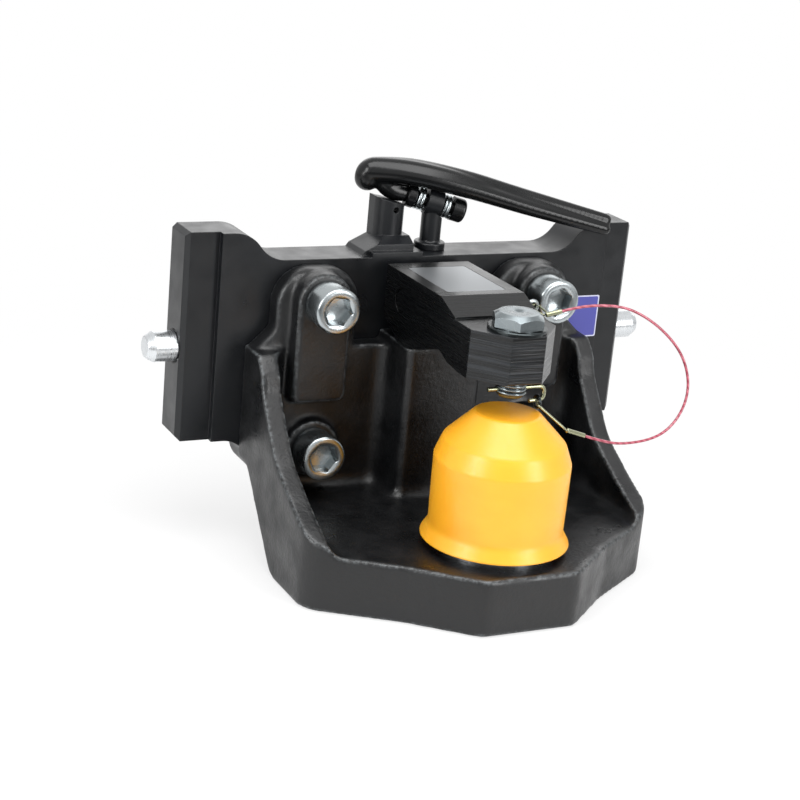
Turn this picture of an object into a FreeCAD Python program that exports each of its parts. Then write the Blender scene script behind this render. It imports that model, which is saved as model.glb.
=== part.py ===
import FreeCAD, Part
import math
import os

V = FreeCAD.Vector
X_AXIS = V(1, 0, 0)
Y_AXIS = V(0, 1, 0)
Z_AXIS = V(0, 0, 1)

# frame: origin at the centre of the tow ball, X right, Y towards the tractor, Z up
slip = 0.3
running_gap = 0.05

# tow ball and its protective cap
ball_d = 80.0
ball_flat_d = 12.0
neck_d = 49.0
ball_foot_d = 78.0
ball_foot_h = 5.0
shank_d = 36.0
floor_z = -45.0

# sliding plate
plate_w = 329.0
guide_y = 136.5
guide_t = 27.0
body_proud = 5.0
plate_top = 125.0
plate_h = 139.0
mid_top = 106.6
mid_bottom = -42.0
shoulder_outer = 134.0
shoulder_inner = 98.0
guide_edge_x = 142.0
side_chamfer = 3.0
plate_y = guide_y - body_proud
back_y = guide_y + guide_t
plate_bottom = plate_top - plate_h
half_w = plate_w / 2

# locking pins
pin_d = 20.0
pin_z = 47.0
pin_y = guide_y + guide_t / 2
pin_out = 19.5
pin_tip = 3.0

# lifting shaft with a rack on both sides, two pinions, and a rack under each of them for the pins
gear_module = 1.5
gear_teeth = 12
gear_r = gear_module * gear_teeth / 2
tooth_step = math.pi * gear_module
addendum = 1.2
rack_addendum = 1.0
dedendum = 1.5
tooth_play = 0.3
pressure = math.radians(20)
lift = 19.5
shaft_x = 14.5
shaft_y = 152.0
block_half = 16.0
pinion_x = block_half + gear_r
pinion_z = 64.0
pinion_front = 138.0
pinion_back = 157.0
axle_d = 8.0
pin_rack_front = 138.6
pin_rack_back = 145.4
block_front = 148.0
block_back = 156.4
rack_back = 3.2
rack_foot = 6.0
foot_half = 6.5
pin_inner = 55.5
chamber_front = 137.6
chamber_low = 27.0
chamber_high = 94.0
chamber_half = pinion_x + gear_r + addendum + 1.3
channel_low = pin_z - foot_half - 0.5
channel_high = pinion_z - gear_r + rack_addendum + 0.6
channel_half = pin_inner + 1.0
cover_t = 4.0
cover_low = 16.0
cover_high = 104.0
cover_half = 62.5
screw_low = 22.0
screw_high = 99.0

# lever shaft and bent rod handle
shaft_d = 18.0
journal_d = 12.0
post_d = 14.0
collar_d = 21.0
collar_h = 4.5
eye_r = 9.0
eye_w = 10.6
eye_z = 138.0
handle_turn = math.radians(14.5)
handle_tilt = math.radians(14.6)
rod_d = 9.4
rod_pitch = 8.6
sleeve_r = 8.2
sleeve_w = 6.2
spring_wire = 2.6
spring_turns = 2
leg_cap_w = 9.0

# bracket casting
bolt_x = 80.0
bolt_high = 85.0
bolt_low = -15.0
bolt_d = 20.0
head_d = 30.0
head_h = 20.0
socket_af = 17.0
cheek_x = 123.0
cheek_t = 13.0
wall_y = 116.5
pad_high_y = 103.5
pad_low_y = 108.2
pad_r = 18.8
ear_top = 104.0
ear_in = 51.0
ear_out = 108.0
pillar_x = 28.0
pillar_y = 84.5
pillar_top = 58.0
base_z = -82.0

# hold-down arm
arm_x = 29.5
arm_top = 104.5
arm_back = 123.0
arm_pivot_y = 100.0
arm_pivot_z = 86.0
nose_top = 95.5
nose_low = 64.7
nose_front = -16.5
nose_half = 11.6
nose_side_y = 4.0
tongue_x = 12.0
pivot_pin_d = 16.0


def box(x0, x1, y0, y1, z0, z1):
    return Part.makeBox(x1 - x0, y1 - y0, z1 - z0, V(x0, y0, z0))


def rod(p, axis, radius, length):
    return Part.makeCylinder(radius, length, p, axis)


def in_xy(u, v):
    return V(u, v, 0)


def in_xz(u, v):
    return V(u, 0, v)


def in_yz(u, v):
    return V(0, u, v)


# closed outline of (u, v, corner radius) points, corners as tangent arcs
def outline(points, place):
    flat = [V(p[0], p[1], 0) for p in points]
    marks = []
    for i, point in enumerate(points):
        here = flat[i]
        a = (flat[i - 1] - here).normalize()
        b = (flat[(i + 1) % len(flat)] - here).normalize()
        radius = point[2] if len(point) > 2 else 0
        if radius == 0:
            marks.append((here, None, here))
            continue
        half = a.getAngle(b) / 2
        reach = radius / math.tan(half)
        inward = (a + b).normalize()
        crown = here + inward * (radius / math.sin(half) - radius)
        marks.append((here + a * reach, crown, here + b * reach))
    edges = []
    for i, (start, crown, end) in enumerate(marks):
        if crown:
            arc = [place(p.x, p.y) for p in (start, crown, end)]
            edges.append(Part.Arc(*arc).toShape())
        after = marks[(i + 1) % len(marks)][0]
        if end.distanceToPoint(after) > 1e-4:
            edges.append(Part.makeLine(place(end.x, end.y), place(after.x, after.y)))
    return Part.Wire(edges)


def prism(points, place, start, along):
    face = Part.Face(outline(points, place))
    face.translate(start)
    return face.extrude(along)


def turned(profile, centre=V(0, 0, 0)):
    wire = outline(profile, in_xz)
    body = Part.Face(wire).revolve(V(0, 0, 0), Z_AXIS, 360)
    body.translate(centre)
    return body


def along_axis(body, axis, at):
    body.rotate(V(0, 0, 0), Z_AXIS.cross(axis), math.degrees(Z_AXIS.getAngle(axis)))
    body.translate(at)
    return body


def hexagon(across_flats):
    r = across_flats / math.sqrt(3)
    return [(r * math.cos(math.radians(60 * i)), r * math.sin(math.radians(60 * i))) for i in range(6)]


def hex_block(across_flats, height, bottom):
    block = prism(hexagon(across_flats), in_xy, V(0, 0, bottom), V(0, 0, height))
    corner = across_flats / math.sqrt(3)
    lip = corner - across_flats / 2
    low = bottom
    high = bottom + height
    crown = [(0, low), (corner, low), (corner, high - lip * 0.6), (across_flats / 2, high), (0, high)]
    return block.common(turned(crown))


# round wire along straight runs and arcs, each run a cylinder and each arc a piece of a torus
def wire_along(edges, radius):
    pieces = []
    for edge in edges:
        start = edge.valueAt(edge.FirstParameter)
        end = edge.valueAt(edge.LastParameter)
        tangent = edge.tangentAt(edge.FirstParameter)
        if edge.Curve.TypeId == "Part::GeomLine":
            pieces.append(rod(start, end - start, radius, (end - start).Length))
            continue
        circle = edge.Curve
        disc = Part.Face(Part.Wire(Part.makeCircle(radius, start, tangent)))
        swing = math.degrees(edge.LastParameter - edge.FirstParameter)
        pieces.append(disc.revolve(circle.Center, circle.Axis, swing))
    return pieces[0].fuse(pieces[1:]).removeSplitter()


# straight runs and bends through (point, bend radius) pairs
def rounded_route(route):
    points = [p for p, r in route]
    edges = []
    last = points[0]
    for i in range(1, len(points) - 1):
        a = (points[i - 1] - points[i]).normalize()
        b = (points[i + 1] - points[i]).normalize()
        half = a.getAngle(b) / 2
        bend = route[i][1]
        reach = bend / math.tan(half)
        crown = points[i] + (a + b).normalize() * (bend / math.sin(half) - bend)
        start = points[i] + a * reach
        end = points[i] + b * reach
        if last.distanceToPoint(start) > 1e-4:
            edges.append(Part.LineSegment(last, start).toShape())
        edges.append(Part.Arc(start, crown, end).toShape())
        last = end
    edges.append(Part.LineSegment(last, points[-1]).toShape())
    return edges


def bent_wire(route, radius):
    return wire_along(rounded_route(route), radius)


def mirrored(shape):
    return shape.mirror(V(0, 0, 0), X_AXIS)


# half outline of the plate from top centre round to bottom centre
def s_bend(x0, z0, x1, z1):
    dx = abs(x1 - x0)
    dz = abs(z1 - z0)
    radius = (dx * dx + dz * dz) / (4 * dz)
    sweep = math.asin(dx / 2 / radius)
    way = 1 if x1 > x0 else -1
    rise = 1 if z1 > z0 else -1
    middle = V((x0 + x1) / 2, 0, (z0 + z1) / 2)
    part_x = radius * math.sin(sweep / 2)
    part_z = radius * (1 - math.cos(sweep / 2))
    first = V(x0 + way * part_x, 0, z0 + rise * part_z)
    second = V(x1 - way * part_x, 0, z1 - rise * part_z)
    lower = Part.Arc(V(x0, 0, z0), first, middle).toShape()
    upper = Part.Arc(middle, second, V(x1, 0, z1)).toShape()
    return [lower, upper]


def plate_blank():
    edges = s_bend(shoulder_inner, mid_top, shoulder_outer, plate_top)
    corner = half_w - side_chamfer
    edges.append(Part.makeLine(V(shoulder_outer, 0, plate_top), V(corner, 0, plate_top)))
    edges.append(Part.makeLine(V(corner, 0, plate_top), V(half_w, 0, plate_top - side_chamfer)))
    low = plate_bottom + side_chamfer
    edges.append(Part.makeLine(V(half_w, 0, plate_top - side_chamfer), V(half_w, 0, low)))
    edges.append(Part.makeLine(V(half_w, 0, low), V(corner, 0, plate_bottom)))
    edges.append(Part.makeLine(V(corner, 0, plate_bottom), V(shoulder_outer, 0, plate_bottom)))
    edges += s_bend(shoulder_outer, plate_bottom, shoulder_inner, mid_bottom)
    edges.append(Part.makeLine(V(shoulder_inner, 0, mid_bottom), V(0, 0, mid_bottom)))
    edges.append(Part.makeLine(V(0, 0, mid_bottom), V(0, 0, mid_top)))
    edges.append(Part.makeLine(V(0, 0, mid_top), V(shoulder_inner, 0, mid_top)))
    face = Part.Face(Part.Wire(Part.__sortEdges__(edges)))
    face.translate(V(0, plate_y, 0))
    half = face.extrude(V(0, back_y - plate_y, 0))
    return half.fuse(mirrored(half)).removeSplitter()


lug_x = -17.0
lug_y = 155.0
lug_r = 10.5
lug_top = 139.6
step_z = 109.5
ramp_z = 117.6
lug_slope = math.tan(handle_tilt)


def slider_plate():
    body = plate_blank()
    tall = plate_top - plate_bottom + 2
    for side in (-1, 1):
        x0, x1 = sorted((side * guide_edge_x, side * (half_w + 1)))
        body = body.cut(box(x0, x1, plate_y - 1, guide_y, plate_bottom - 1, plate_top + 1))
        edge = [(side * half_w, guide_y), (side * (half_w - side_chamfer), guide_y),
                (side * half_w, guide_y + side_chamfer)]
        body = body.cut(prism(edge, in_xy, V(0, 0, plate_bottom - 1), V(0, 0, tall)))
        bore = rod(V(side * (half_w + 1), pin_y, pin_z), V(-side, 0, 0), pin_d / 2 + running_gap, half_w)
        body = body.cut(bore)
        mouth = Part.makeCone(pin_d / 2 + 1.6, pin_d / 2, 1.6, V(side * half_w, pin_y, pin_z), V(-side, 0, 0))
        body = body.cut(mouth)
        for z in (bolt_high, bolt_low):
            body = body.cut(rod(V(side * bolt_x, plate_y - 1, z), Y_AXIS, bolt_d / 2, 31))
    step = box(-37, 0, plate_y, back_y, mid_top - 1, step_z)
    front = [(-43, mid_top - 1), (-40, step_z), (-23.5, ramp_z), (-5, ramp_z), (-5, mid_top - 1)]
    side = [(guide_y, mid_top - 1), (guide_y, 113.5), (guide_y + 8, ramp_z), (back_y, ramp_z), (back_y, mid_top - 1)]
    ramp = prism(front, in_xz, V(0, guide_y, 0), V(0, guide_t, 0))
    ramp = ramp.common(prism(side, in_yz, V(-50, 0, 0), V(60, 0, 0)))
    lug = rod(V(lug_x, lug_y, mid_top - 1), Z_AXIS, lug_r, lug_top - mid_top + 7)
    lug = lug.fuse(box(lug_x - lug_r, lug_x + lug_r, lug_y, back_y, mid_top - 1, lug_top + 6))
    above = [(lug_x - 14, lug_top + 14 * lug_slope), (lug_x + 14, lug_top - 14 * lug_slope),
             (lug_x + 14, lug_top + 20), (lug_x - 14, lug_top + 20)]
    lug = lug.cut(prism(above, in_xz, V(0, lug_y - 20, 0), V(0, 40, 0)))
    body = body.fuse(step).fuse(ramp).fuse(lug)
    body = body.cut(rod(V(lug_x + 1, lug_y - lug_r - 1, lug_top - 5), Y_AXIS, 2.0, 2 * lug_r + 6))
    for half, low, high in ((chamber_half, chamber_low, chamber_high), (channel_half, channel_low, channel_high)):
        body = body.cut(box(shaft_x - half, shaft_x + half, chamber_front, back_y + 1, low, high))
    body = body.cut(rod(V(shaft_x, shaft_y, chamber_high - 1), Z_AXIS, shaft_d / 2 + running_gap, 60))
    body = body.cut(rod(V(shaft_x, shaft_y, stub_low - 2), Z_AXIS, journal_d / 2 + running_gap, chamber_low - stub_low + 3))
    for side in (-1, 1):
        axle = V(shaft_x + side * pinion_x, chamber_front - axle_seat, pinion_z)
        body = body.cut(rod(axle, Y_AXIS, axle_d / 2 + running_gap, axle_seat + 1))
    for x, z in cover_screw_places:
        body = body.cut(rod(V(x, back_y + 1, z), V(0, -1, 0), 2.6, 13))
    return body.removeSplitter()


axle_seat = 3.6
stub_low = 4.0
screw_from_shaft = (-56.5, -16.5, 16.5, 56.5)
cover_screw_places = [(shaft_x + off, z) for off in screw_from_shaft for z in (screw_low, screw_high)]


def rounded_box(x0, x1, z0, z1, radius, y, depth):
    corners = [(x0, z0, radius), (x1, z0, radius), (x1, z1, radius), (x0, z1, radius)]
    return prism(corners, in_xz, V(0, y, 0), V(0, depth, 0))


def gear_cover():
    body = rounded_box(shaft_x - cover_half, shaft_x + cover_half, cover_low, cover_high, 8, back_y, cover_t)
    rim = [e for e in body.Edges if e.BoundBox.YMin > back_y + cover_t - 0.01]
    body = body.makeChamfer(1.0, rim)
    for side in (-1, 1):
        centre = V(shaft_x + side * pinion_x, back_y - 1, pinion_z)
        body = body.cut(rod(centre, Y_AXIS, axle_d / 2 + running_gap, cover_t + 2))
    for x, z in cover_screw_places:
        body = body.cut(rod(V(x, back_y - 1, z), Y_AXIS, 3.3, cover_t + 2))
    return body.removeSplitter()


def cover_screws():
    screws = []
    for x, z in cover_screw_places:
        head = rod(V(0, 0, 0), Z_AXIS, 5.0, 4.0)
        head = head.makeChamfer(0.7, [head.Edges[0]])
        socket = prism(hexagon(4.0), in_xy, V(0, 0, 2.0), V(0, 0, 3))
        screw = head.cut(socket).fuse(rod(V(0, 0, -14), Z_AXIS, 2.5, 14))
        screws.append(along_axis(screw, Y_AXIS, V(x, back_y + cover_t, z)))
    return Part.makeCompound(screws)


def locking_pin(side):
    inner = shaft_x + side * pin_inner
    length = half_w + pin_out - abs(inner) if side * inner > 0 else half_w + pin_out + abs(inner)
    r = pin_d / 2
    profile = [(0, 0), (r - 1, 0), (r, 1), (r, length - pin_tip - 2), (r - pin_tip, length, 1.5), (0, length)]
    pin = turned(profile)
    mouth = length - pin_out
    groove = turned([(r - 1.2, mouth - 2.6), (r + 1, mouth - 2.6), (r + 1, mouth), (r - 1.2, mouth)])
    pin = pin.cut(groove).cut(rod(V(0, 0, -1), Z_AXIS, 4.2, 21))
    return along_axis(pin, V(side, 0, 0), V(inner, pin_y, pin_z))


# outline of a rack, pitch line on u = 0, one tooth each side of a gap at u = 0 and the teeth pointing to +v
def rack_outline(first, last, start, end):
    half_step = tooth_step / 4 - tooth_play / 2
    slope = math.tan(pressure)
    tip = half_step - rack_addendum * slope
    root = half_step + (dedendum - 0.1) * slope
    base_v = -(dedendum - 0.1)
    back = -(dedendum + rack_back)
    points = [(start, back), (start, base_v)]
    for i in range(first, last):
        u = (i + 0.5) * tooth_step
        points += [(u - root, base_v), (u - tip, rack_addendum), (u + tip, rack_addendum), (u + root, base_v)]
    return points + [(end, base_v), (end, back)]


# rack of one pin, lying under its pinion with the teeth up, and the foot screwed to the pin
def rack(side):
    inner = -(pin_inner - pinion_x)
    shape = rack_outline(-5, 1, inner, 4.3)
    shape = [(-side * u, v) for u, v in shape]
    pitch = V(shaft_x + side * pinion_x, pin_rack_front, pinion_z - gear_r)
    bar = prism(shape, in_xz, pitch, V(0, pin_rack_back - pin_rack_front, 0))
    face = shaft_x + side * pin_inner
    foot_x = sorted((face, face - side * rack_foot))
    foot = box(foot_x[0], foot_x[1], pin_rack_front, pin_y + 7, pin_z - foot_half, pin_z + foot_half)
    foot = foot.cut(rod(V(face + side, pin_y, pin_z), V(-side, 0, 0), 4.3, rack_foot + 2))
    return bar.fuse(foot).removeSplitter()


def rack_screw(side):
    inner = shaft_x + side * pin_inner
    head = hex_block(10.0, 4.0, 0)
    stem = rod(V(0, 0, -(rack_foot + 18)), Z_AXIS, 4.0, rack_foot + 18)
    return along_axis(head.fuse(stem), V(-side, 0, 0), V(inner - side * rack_foot, pin_y, pin_z))


def pinion(side):
    base_r = gear_r * math.cos(pressure)
    tip_r = gear_r + addendum
    root_r = gear_r - dedendum
    pitch_half = math.pi / 2 / gear_teeth - tooth_play / 2 / gear_r
    involute = math.tan(pressure) - pressure
    steps = 5
    flank = []
    for i in range(steps):
        r = base_r + (tip_r - base_r) * i / (steps - 1)
        angle = math.acos(min(1, base_r / r))
        flank.append((r, pitch_half + involute - (math.tan(angle) - angle)))
    points = []
    for k in range(gear_teeth):
        centre = 2 * math.pi * k / gear_teeth
        half = [(root_r, flank[0][1])] + flank
        spots = [(r, centre - a) for r, a in half] + [(r, centre + a) for r, a in reversed(half)]
        points += [(r * math.cos(a), r * math.sin(a)) for r, a in spots]
    wheel = prism(points, in_xz, V(0, pinion_front, 0), V(0, pinion_back - pinion_front, 0))
    axle_end = back_y + cover_t
    axle_start = chamber_front - axle_seat + 0.3
    wheel = wheel.fuse(rod(V(0, axle_start, 0), Y_AXIS, axle_d / 2, axle_end - axle_start))
    wheel.translate(V(shaft_x + side * pinion_x, 0, pinion_z))
    return wheel


# points in the upright plane of the handle: along the tilted leg, and square to it
def on_leg(along, up=0.0):
    ahead = V(math.cos(handle_turn), -math.sin(handle_turn), 0)
    leg = ahead * math.cos(handle_tilt) - Z_AXIS * math.sin(handle_tilt)
    square = ahead * math.sin(handle_tilt) + Z_AXIS * math.cos(handle_tilt)
    return V(shaft_x, shaft_y, eye_z) + leg * along + square * up


def leg_axis():
    return (on_leg(1) - on_leg(0)).normalize()


def on_leg_rod(start, length, radius):
    return rod(on_leg(start), leg_axis(), radius, length)


# shaft that slides up: stub, toothed block, guide, collar, post and the eye of the handle
def lever_shaft():
    foot = mid_top + 0.4
    profile = [(0, stub_low), (journal_d / 2 - 1, stub_low), (journal_d / 2, stub_low + 1), (journal_d / 2, block_high - 1),
               (shaft_d / 2, block_high - 1), (shaft_d / 2, foot), (collar_d / 2, foot),
               (collar_d / 2, foot + collar_h, 1.0), (post_d / 2, foot + collar_h, 1.5), (post_d / 2, eye_z), (0, eye_z)]
    body = turned(profile, V(shaft_x, shaft_y, 0))
    teeth = rack_outline(-6, 1, -block_drop, block_high - pinion_z)
    teeth = [(block_half + v, pinion_z + u) for u, v in teeth[1:-1]]
    edge = [(x, z) for x, z in teeth] + [(-x, z) for x, z in reversed(teeth)]
    block = prism(edge, in_xz, V(shaft_x, block_front, 0), V(0, block_back - block_front, 0))
    body = body.fuse(block)
    eye = on_leg_rod(-eye_w / 2, eye_w, eye_r)
    for start in (eye_w / 2, -eye_w / 2 - 16):
        body = body.cut(on_leg_rod(start, 16, sleeve_r + 0.4))
    body = body.fuse(eye).cut(on_leg_rod(-30, 60, rod_d / 2 + running_gap))
    return body.removeSplitter()


block_drop = 29.5
block_high = 70.0


# coil of half turns, each one an arc that climbs half a pitch
def coil(radius, wire_r, pitch, turns):
    edges = []
    for i in range(2 * turns):
        way = 1 if i % 2 == 0 else -1
        low = V(way * radius, 0, i * pitch / 2)
        high = V(-way * radius, 0, (i + 1) * pitch / 2)
        crown = V(0, way * (high - low).Length / 2, (i + 0.5) * pitch / 2)
        edges.append(Part.Arc(low, crown, high).toShape())
    return wire_along(edges, wire_r)


def return_spring():
    wire_r = 0.9
    turns = 4
    room = chamber_high - block_high - 0.3
    spring = coil(shaft_d / 2 + wire_r + 0.15, wire_r, (room - 2 * wire_r) / turns, turns)
    spring.translate(V(shaft_x, shaft_y, block_high + wire_r + 0.1))
    return spring


spring_length = spring_wire * (spring_turns + 1) * 1.02
leg_end = eye_w / 2 + spring_length + leg_cap_w - 2.5


def leg_springs():
    pitch = (spring_length - spring_wire) / spring_turns
    both = []
    for start in (-eye_w / 2 - spring_length, eye_w / 2):
        wind = coil(sleeve_r - spring_wire / 2, spring_wire / 2, pitch, spring_turns)
        both.append(along_axis(wind, leg_axis(), on_leg(start + spring_wire / 2)))
    return Part.makeCompound(both)


def leg_sleeve():
    start = -eye_w / 2 - spring_length - sleeve_w
    ring = on_leg_rod(start, sleeve_w, sleeve_r)
    ring = ring.makeChamfer(0.8, [e for e in ring.Edges if len(e.Vertexes) == 1])
    return ring.cut(on_leg_rod(start - 1, sleeve_w + 2, rod_d / 2 + 0.02))


def leg_cap():
    start = eye_w / 2 + spring_length
    body = on_leg_rod(start, leg_cap_w, sleeve_r)
    outer = [e for e in body.Edges if len(e.Vertexes) == 1 and e.CenterOfMass.distanceToPoint(on_leg(start)) > 5]
    body = body.makeFillet(2.4, outer)
    return body.cut(on_leg_rod(start - 1, leg_end - start + 1, rod_d / 2 + 0.02))


# one rod: long upper run, tight bend over the left end, short leg through the eye of the shaft
def lever_handle():
    r = rod_d / 2
    leg_bend = 7.0
    upper = [(on_leg(120, 24.2), 0), (on_leg(-12, 23.4), 40), (on_leg(-52.5, 13.6), leg_bend),
             (on_leg(-50.8, 0), leg_bend), (on_leg(leg_end), 0)]
    low_up = 24.2 - rod_pitch
    top_rod = bent_wire(upper, r)
    low_start = on_leg(-40, 23.4 - rod_pitch)
    low_end = on_leg(120.6, low_up)
    low_rod = rod(low_start, low_end - low_start, r, (low_end - low_start).Length)
    balls = [Part.makeSphere(r, p) for p in (upper[0][0], low_start, low_end)]
    return top_rod.fuse([low_rod] + balls).removeSplitter()


# side view of the casting, from the cheek top round the tray to the heel
def side_profile(heel):
    return [(plate_y, 52), (109, 52, 8), (99, 41, 10), (96, 30, 20), (70, -6, 40), (38, -24, 60), (4, -40, 20),
            (-20, floor_z, 30), (-60, floor_z), (-60, base_z)] + heel


def plan_profile():
    half = [(32, -54, 14), (70, -22, 22), (101, -2, 24), (cheek_x, 12, 20), (cheek_x, plate_y, 0)]
    return [(-x, y, r) for x, y, r in reversed(half)] + half


def tray_space():
    inner = cheek_x - cheek_t
    half = [(pillar_x, -90, 0), (inner, -90, 0), (inner, wall_y, 14), (pillar_x, wall_y, 9), (pillar_x, pillar_y, 6)]
    right = [(x, y, r) for x, y, r in half[1:]]
    left = [(-x, y, r) for x, y, r in reversed(half[1:])]
    space = prism(right + left, in_xy, V(0, 0, floor_z), V(0, 0, 200))
    low = [e for e in space.Edges if e.BoundBox.ZMax < floor_z + 0.01 and e.BoundBox.YMin > -80]
    return space.makeFillet(8.0, low)


def hitch_bracket():
    plan = prism(plan_profile(), in_xy, V(0, 0, base_z), V(0, 0, 150))
    slanted = side_profile([(66, base_z, 16), (116, -25, 12), (plate_y, -25)])
    deep = side_profile([(66, base_z, 12), (108, -62, 12), (plate_y, -58)])
    side = prism(slanted, in_yz, V(-cheek_x - 1, 0, 0), V(2 * cheek_x + 2, 0, 0))
    middle = prism(deep, in_yz, V(-heel_x, 0, 0), V(2 * heel_x, 0, 0))
    body = plan.common(side.fuse(middle))
    pillar = prism([(pillar_x, pillar_y, 6), (pillar_x, plate_y), (-pillar_x, plate_y), (-pillar_x, pillar_y, 6)],
                   in_xy, V(0, 0, floor_z - 1), V(0, 0, pillar_top - floor_z + 1))
    ears = []
    for side_x in (-1, 1):
        ear = [(side_x * ear_in, 30), (side_x * ear_in, ear_top, 22), (side_x * ear_out, ear_top, 24),
               (side_x * ear_out, 64, 8), (side_x * cheek_x, 50, 6), (side_x * cheek_x, 30)]
        plate = prism(ear, in_xz, V(0, wall_y, 0), V(0, plate_y - wall_y, 0))
        rim = [e for e in plate.Edges if e.BoundBox.YMax < wall_y + 0.01 and e.BoundBox.ZMin > 55]
        ears.append(plate.makeFillet(4.0, rim))
    body = body.fuse(ears)
    body = body.cut(tray_space()).fuse(pillar)
    for side_x in (-1, 1):
        x0 = side_x * bolt_x - pad_r
        x1 = side_x * bolt_x + pad_r
        high = [(x0, 18, 5), (x1, 18, 5), (x1, bolt_high + pad_r, pad_r - 0.1), (x0, bolt_high + pad_r, pad_r - 0.1)]
        pad = prism(high, in_xz, V(0, pad_high_y, 0), V(0, wall_y - pad_high_y + 1, 0))
        lip = [e for e in pad.Edges if e.BoundBox.YMax < pad_high_y + 0.01]
        body = body.fuse(pad.makeFillet(2.5, lip))
        low = rod(V(side_x * bolt_x, pad_low_y, bolt_low), Y_AXIS, pad_r, wall_y - pad_low_y + 1)
        body = body.fuse(low)
    seat = prism([(ear_in + 1, 52), (ear_in + 1, 140), (-ear_in - 1, 140), (-ear_in - 1, 52)],
                 in_xz, V(0, wall_y - 20, 0), V(0, 36, 0))
    opening = seat.cut(box(-pillar_x, pillar_x, wall_y - 40, plate_y + 1, 40, pillar_top))
    body = body.cut(opening)
    tongue = [(87.5, pillar_top - 1), (87.5, 98.5, 12.4), (112.5, 98.5, 12.4), (112.5, pillar_top - 1)]
    body = body.fuse(prism(tongue, in_yz, V(-tongue_x, 0, 0), V(2 * tongue_x, 0, 0)))
    body = body.cut(rod(V(-40, arm_pivot_y, arm_pivot_z), X_AXIS, pivot_pin_d / 2, 80))
    body = body.cut(underside_pocket())
    for side_x in (-1, 1):
        for z in (bolt_high, bolt_low):
            body = body.cut(rod(V(side_x * bolt_x, 60, z), Y_AXIS, bolt_d / 2 + 0.5, 90))
            seat_y = pad_high_y if z > 0 else pad_low_y
            body = body.cut(rod(V(side_x * bolt_x, 60, z), Y_AXIS, head_d / 2 + 1.5, seat_y - 60))
    body = body.cut(rod(V(0, 0, base_z - 1), Z_AXIS, shank_d / 2 + 0.1, 60))
    return body.removeSplitter()


pocket_roof = -62.0
heel_x = cheek_x - cheek_t


# hollow under the tray, left open between a skirt and two ribs
def underside_pocket():
    skirt = 13.0
    half = [(26, -54 + skirt, 10), (64, -10, 16), (96, 14, 14), (cheek_x - skirt, 26, 8), (cheek_x - skirt, 64, 8)]
    ring = [(-x, y, r) for x, y, r in reversed(half)] + half
    space = prism(ring, in_xy, V(0, 0, base_z - 1), V(0, 0, pocket_roof - base_z + 1))
    for side_x in (-1, 1):
        rib = prism([(side_x * 38, -60), (side_x * 46, -60), (side_x * 58, 80), (side_x * 50, 80)],
                    in_xy, V(0, 0, base_z - 1), V(0, 0, pocket_roof - base_z + 1))
        space = space.cut(rib)
    return space


def bracket_bolts():
    bolts = []
    for side_x in (-1, 1):
        for z, seat in ((bolt_high, pad_high_y), (bolt_low, pad_low_y)):
            head = turned([(0, 0), (head_d / 2, 0), (head_d / 2, head_h, 1.4), (0, head_h)])
            socket = prism(hexagon(socket_af), in_xy, V(0, 0, head_h - 10), V(0, 0, 11))
            bevel = Part.makeCone(socket_af / 2 - 0.2, socket_af / 2 + 1.2, 1.4, V(0, 0, head_h - 1.4))
            head = head.cut(socket).cut(bevel)
            stem = rod(V(0, 0, -(plate_y - seat) - 27), Z_AXIS, bolt_d / 2 - 0.1, plate_y - seat + 27)
            bolts.append(along_axis(head.fuse(stem), V(0, -1, 0), V(side_x * bolt_x, seat, z)))
    return Part.makeCompound(bolts)


def tow_ball():
    r = ball_d / 2
    top = math.sqrt(r * r - ball_flat_d * ball_flat_d / 4)
    neck = neck_d / 2
    low = math.sqrt(r * r - neck * neck)
    foot = floor_z + ball_foot_h
    edges = [
        Part.makeLine(V(0, 0, top), V(ball_flat_d / 2, 0, top)),
        Part.Arc(V(ball_flat_d / 2, 0, top), V(r, 0, 0), V(neck, 0, -low)).toShape(),
        Part.Arc(V(neck, 0, -low), V(neck - 1.4, 0, -low - 2.6), V(neck + 1.2, 0, foot)).toShape(),
        Part.makeLine(V(neck + 1.2, 0, foot), V(ball_foot_d / 2, 0, foot)),
        Part.makeLine(V(ball_foot_d / 2, 0, foot), V(ball_foot_d / 2, 0, floor_z)),
        Part.makeLine(V(ball_foot_d / 2, 0, floor_z), V(shank_d / 2, 0, floor_z)),
        Part.makeLine(V(shank_d / 2, 0, floor_z), V(shank_d / 2, 0, shank_low)),
        Part.makeLine(V(shank_d / 2, 0, shank_low), V(0, 0, shank_low)),
        Part.makeLine(V(0, 0, shank_low), V(0, 0, top)),
    ]
    face = Part.Face(Part.Wire(edges))
    return face.revolve(V(0, 0, 0), Z_AXIS, 360)


washer_t = 3.5
nut_h = 14.0
shank_low = pocket_roof - washer_t - nut_h - 1.5


def ball_washer():
    ring = rod(V(0, 0, pocket_roof - washer_t), Z_AXIS, 32, washer_t)
    return ring.cut(rod(V(0, 0, pocket_roof - 9), Z_AXIS, shank_d / 2 + 0.5, 12))


def ball_nut():
    nut = hex_block(55.0, nut_h, 0)
    nut.rotate(V(0, 0, 0), X_AXIS, 180)
    nut.translate(V(0, 0, pocket_roof - washer_t))
    return nut.cut(rod(V(0, 0, shank_low - 5), Z_AXIS, shank_d / 2 + 0.1, 60))


cap_wall = 2.9


def ball_cap():
    top = 42.8
    outer = [(0, top), (20.9, top, 2.0), (38.4, 24.4, 8), (43.2, 13, 8), (42.9, -6, 0), (42.6, -30, 5),
             (47.3, -38, 0), (47.3, -40.4, 0)]
    inner = [(45.3, -40.4, 0), (40.6, -29.5, 5), (40.7, -6, 0), (41.0, 12.2, 7), (36.9, 22.6, 7),
             (19.9, top - cap_wall, 1.5), (0, top - cap_wall)]
    body = turned(outer + inner)
    bead = turned([(42.6, 8), (43.6, 6), (43.6, 2), (42.6, 0)])
    return body.fuse(bead).removeSplitter()


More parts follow.
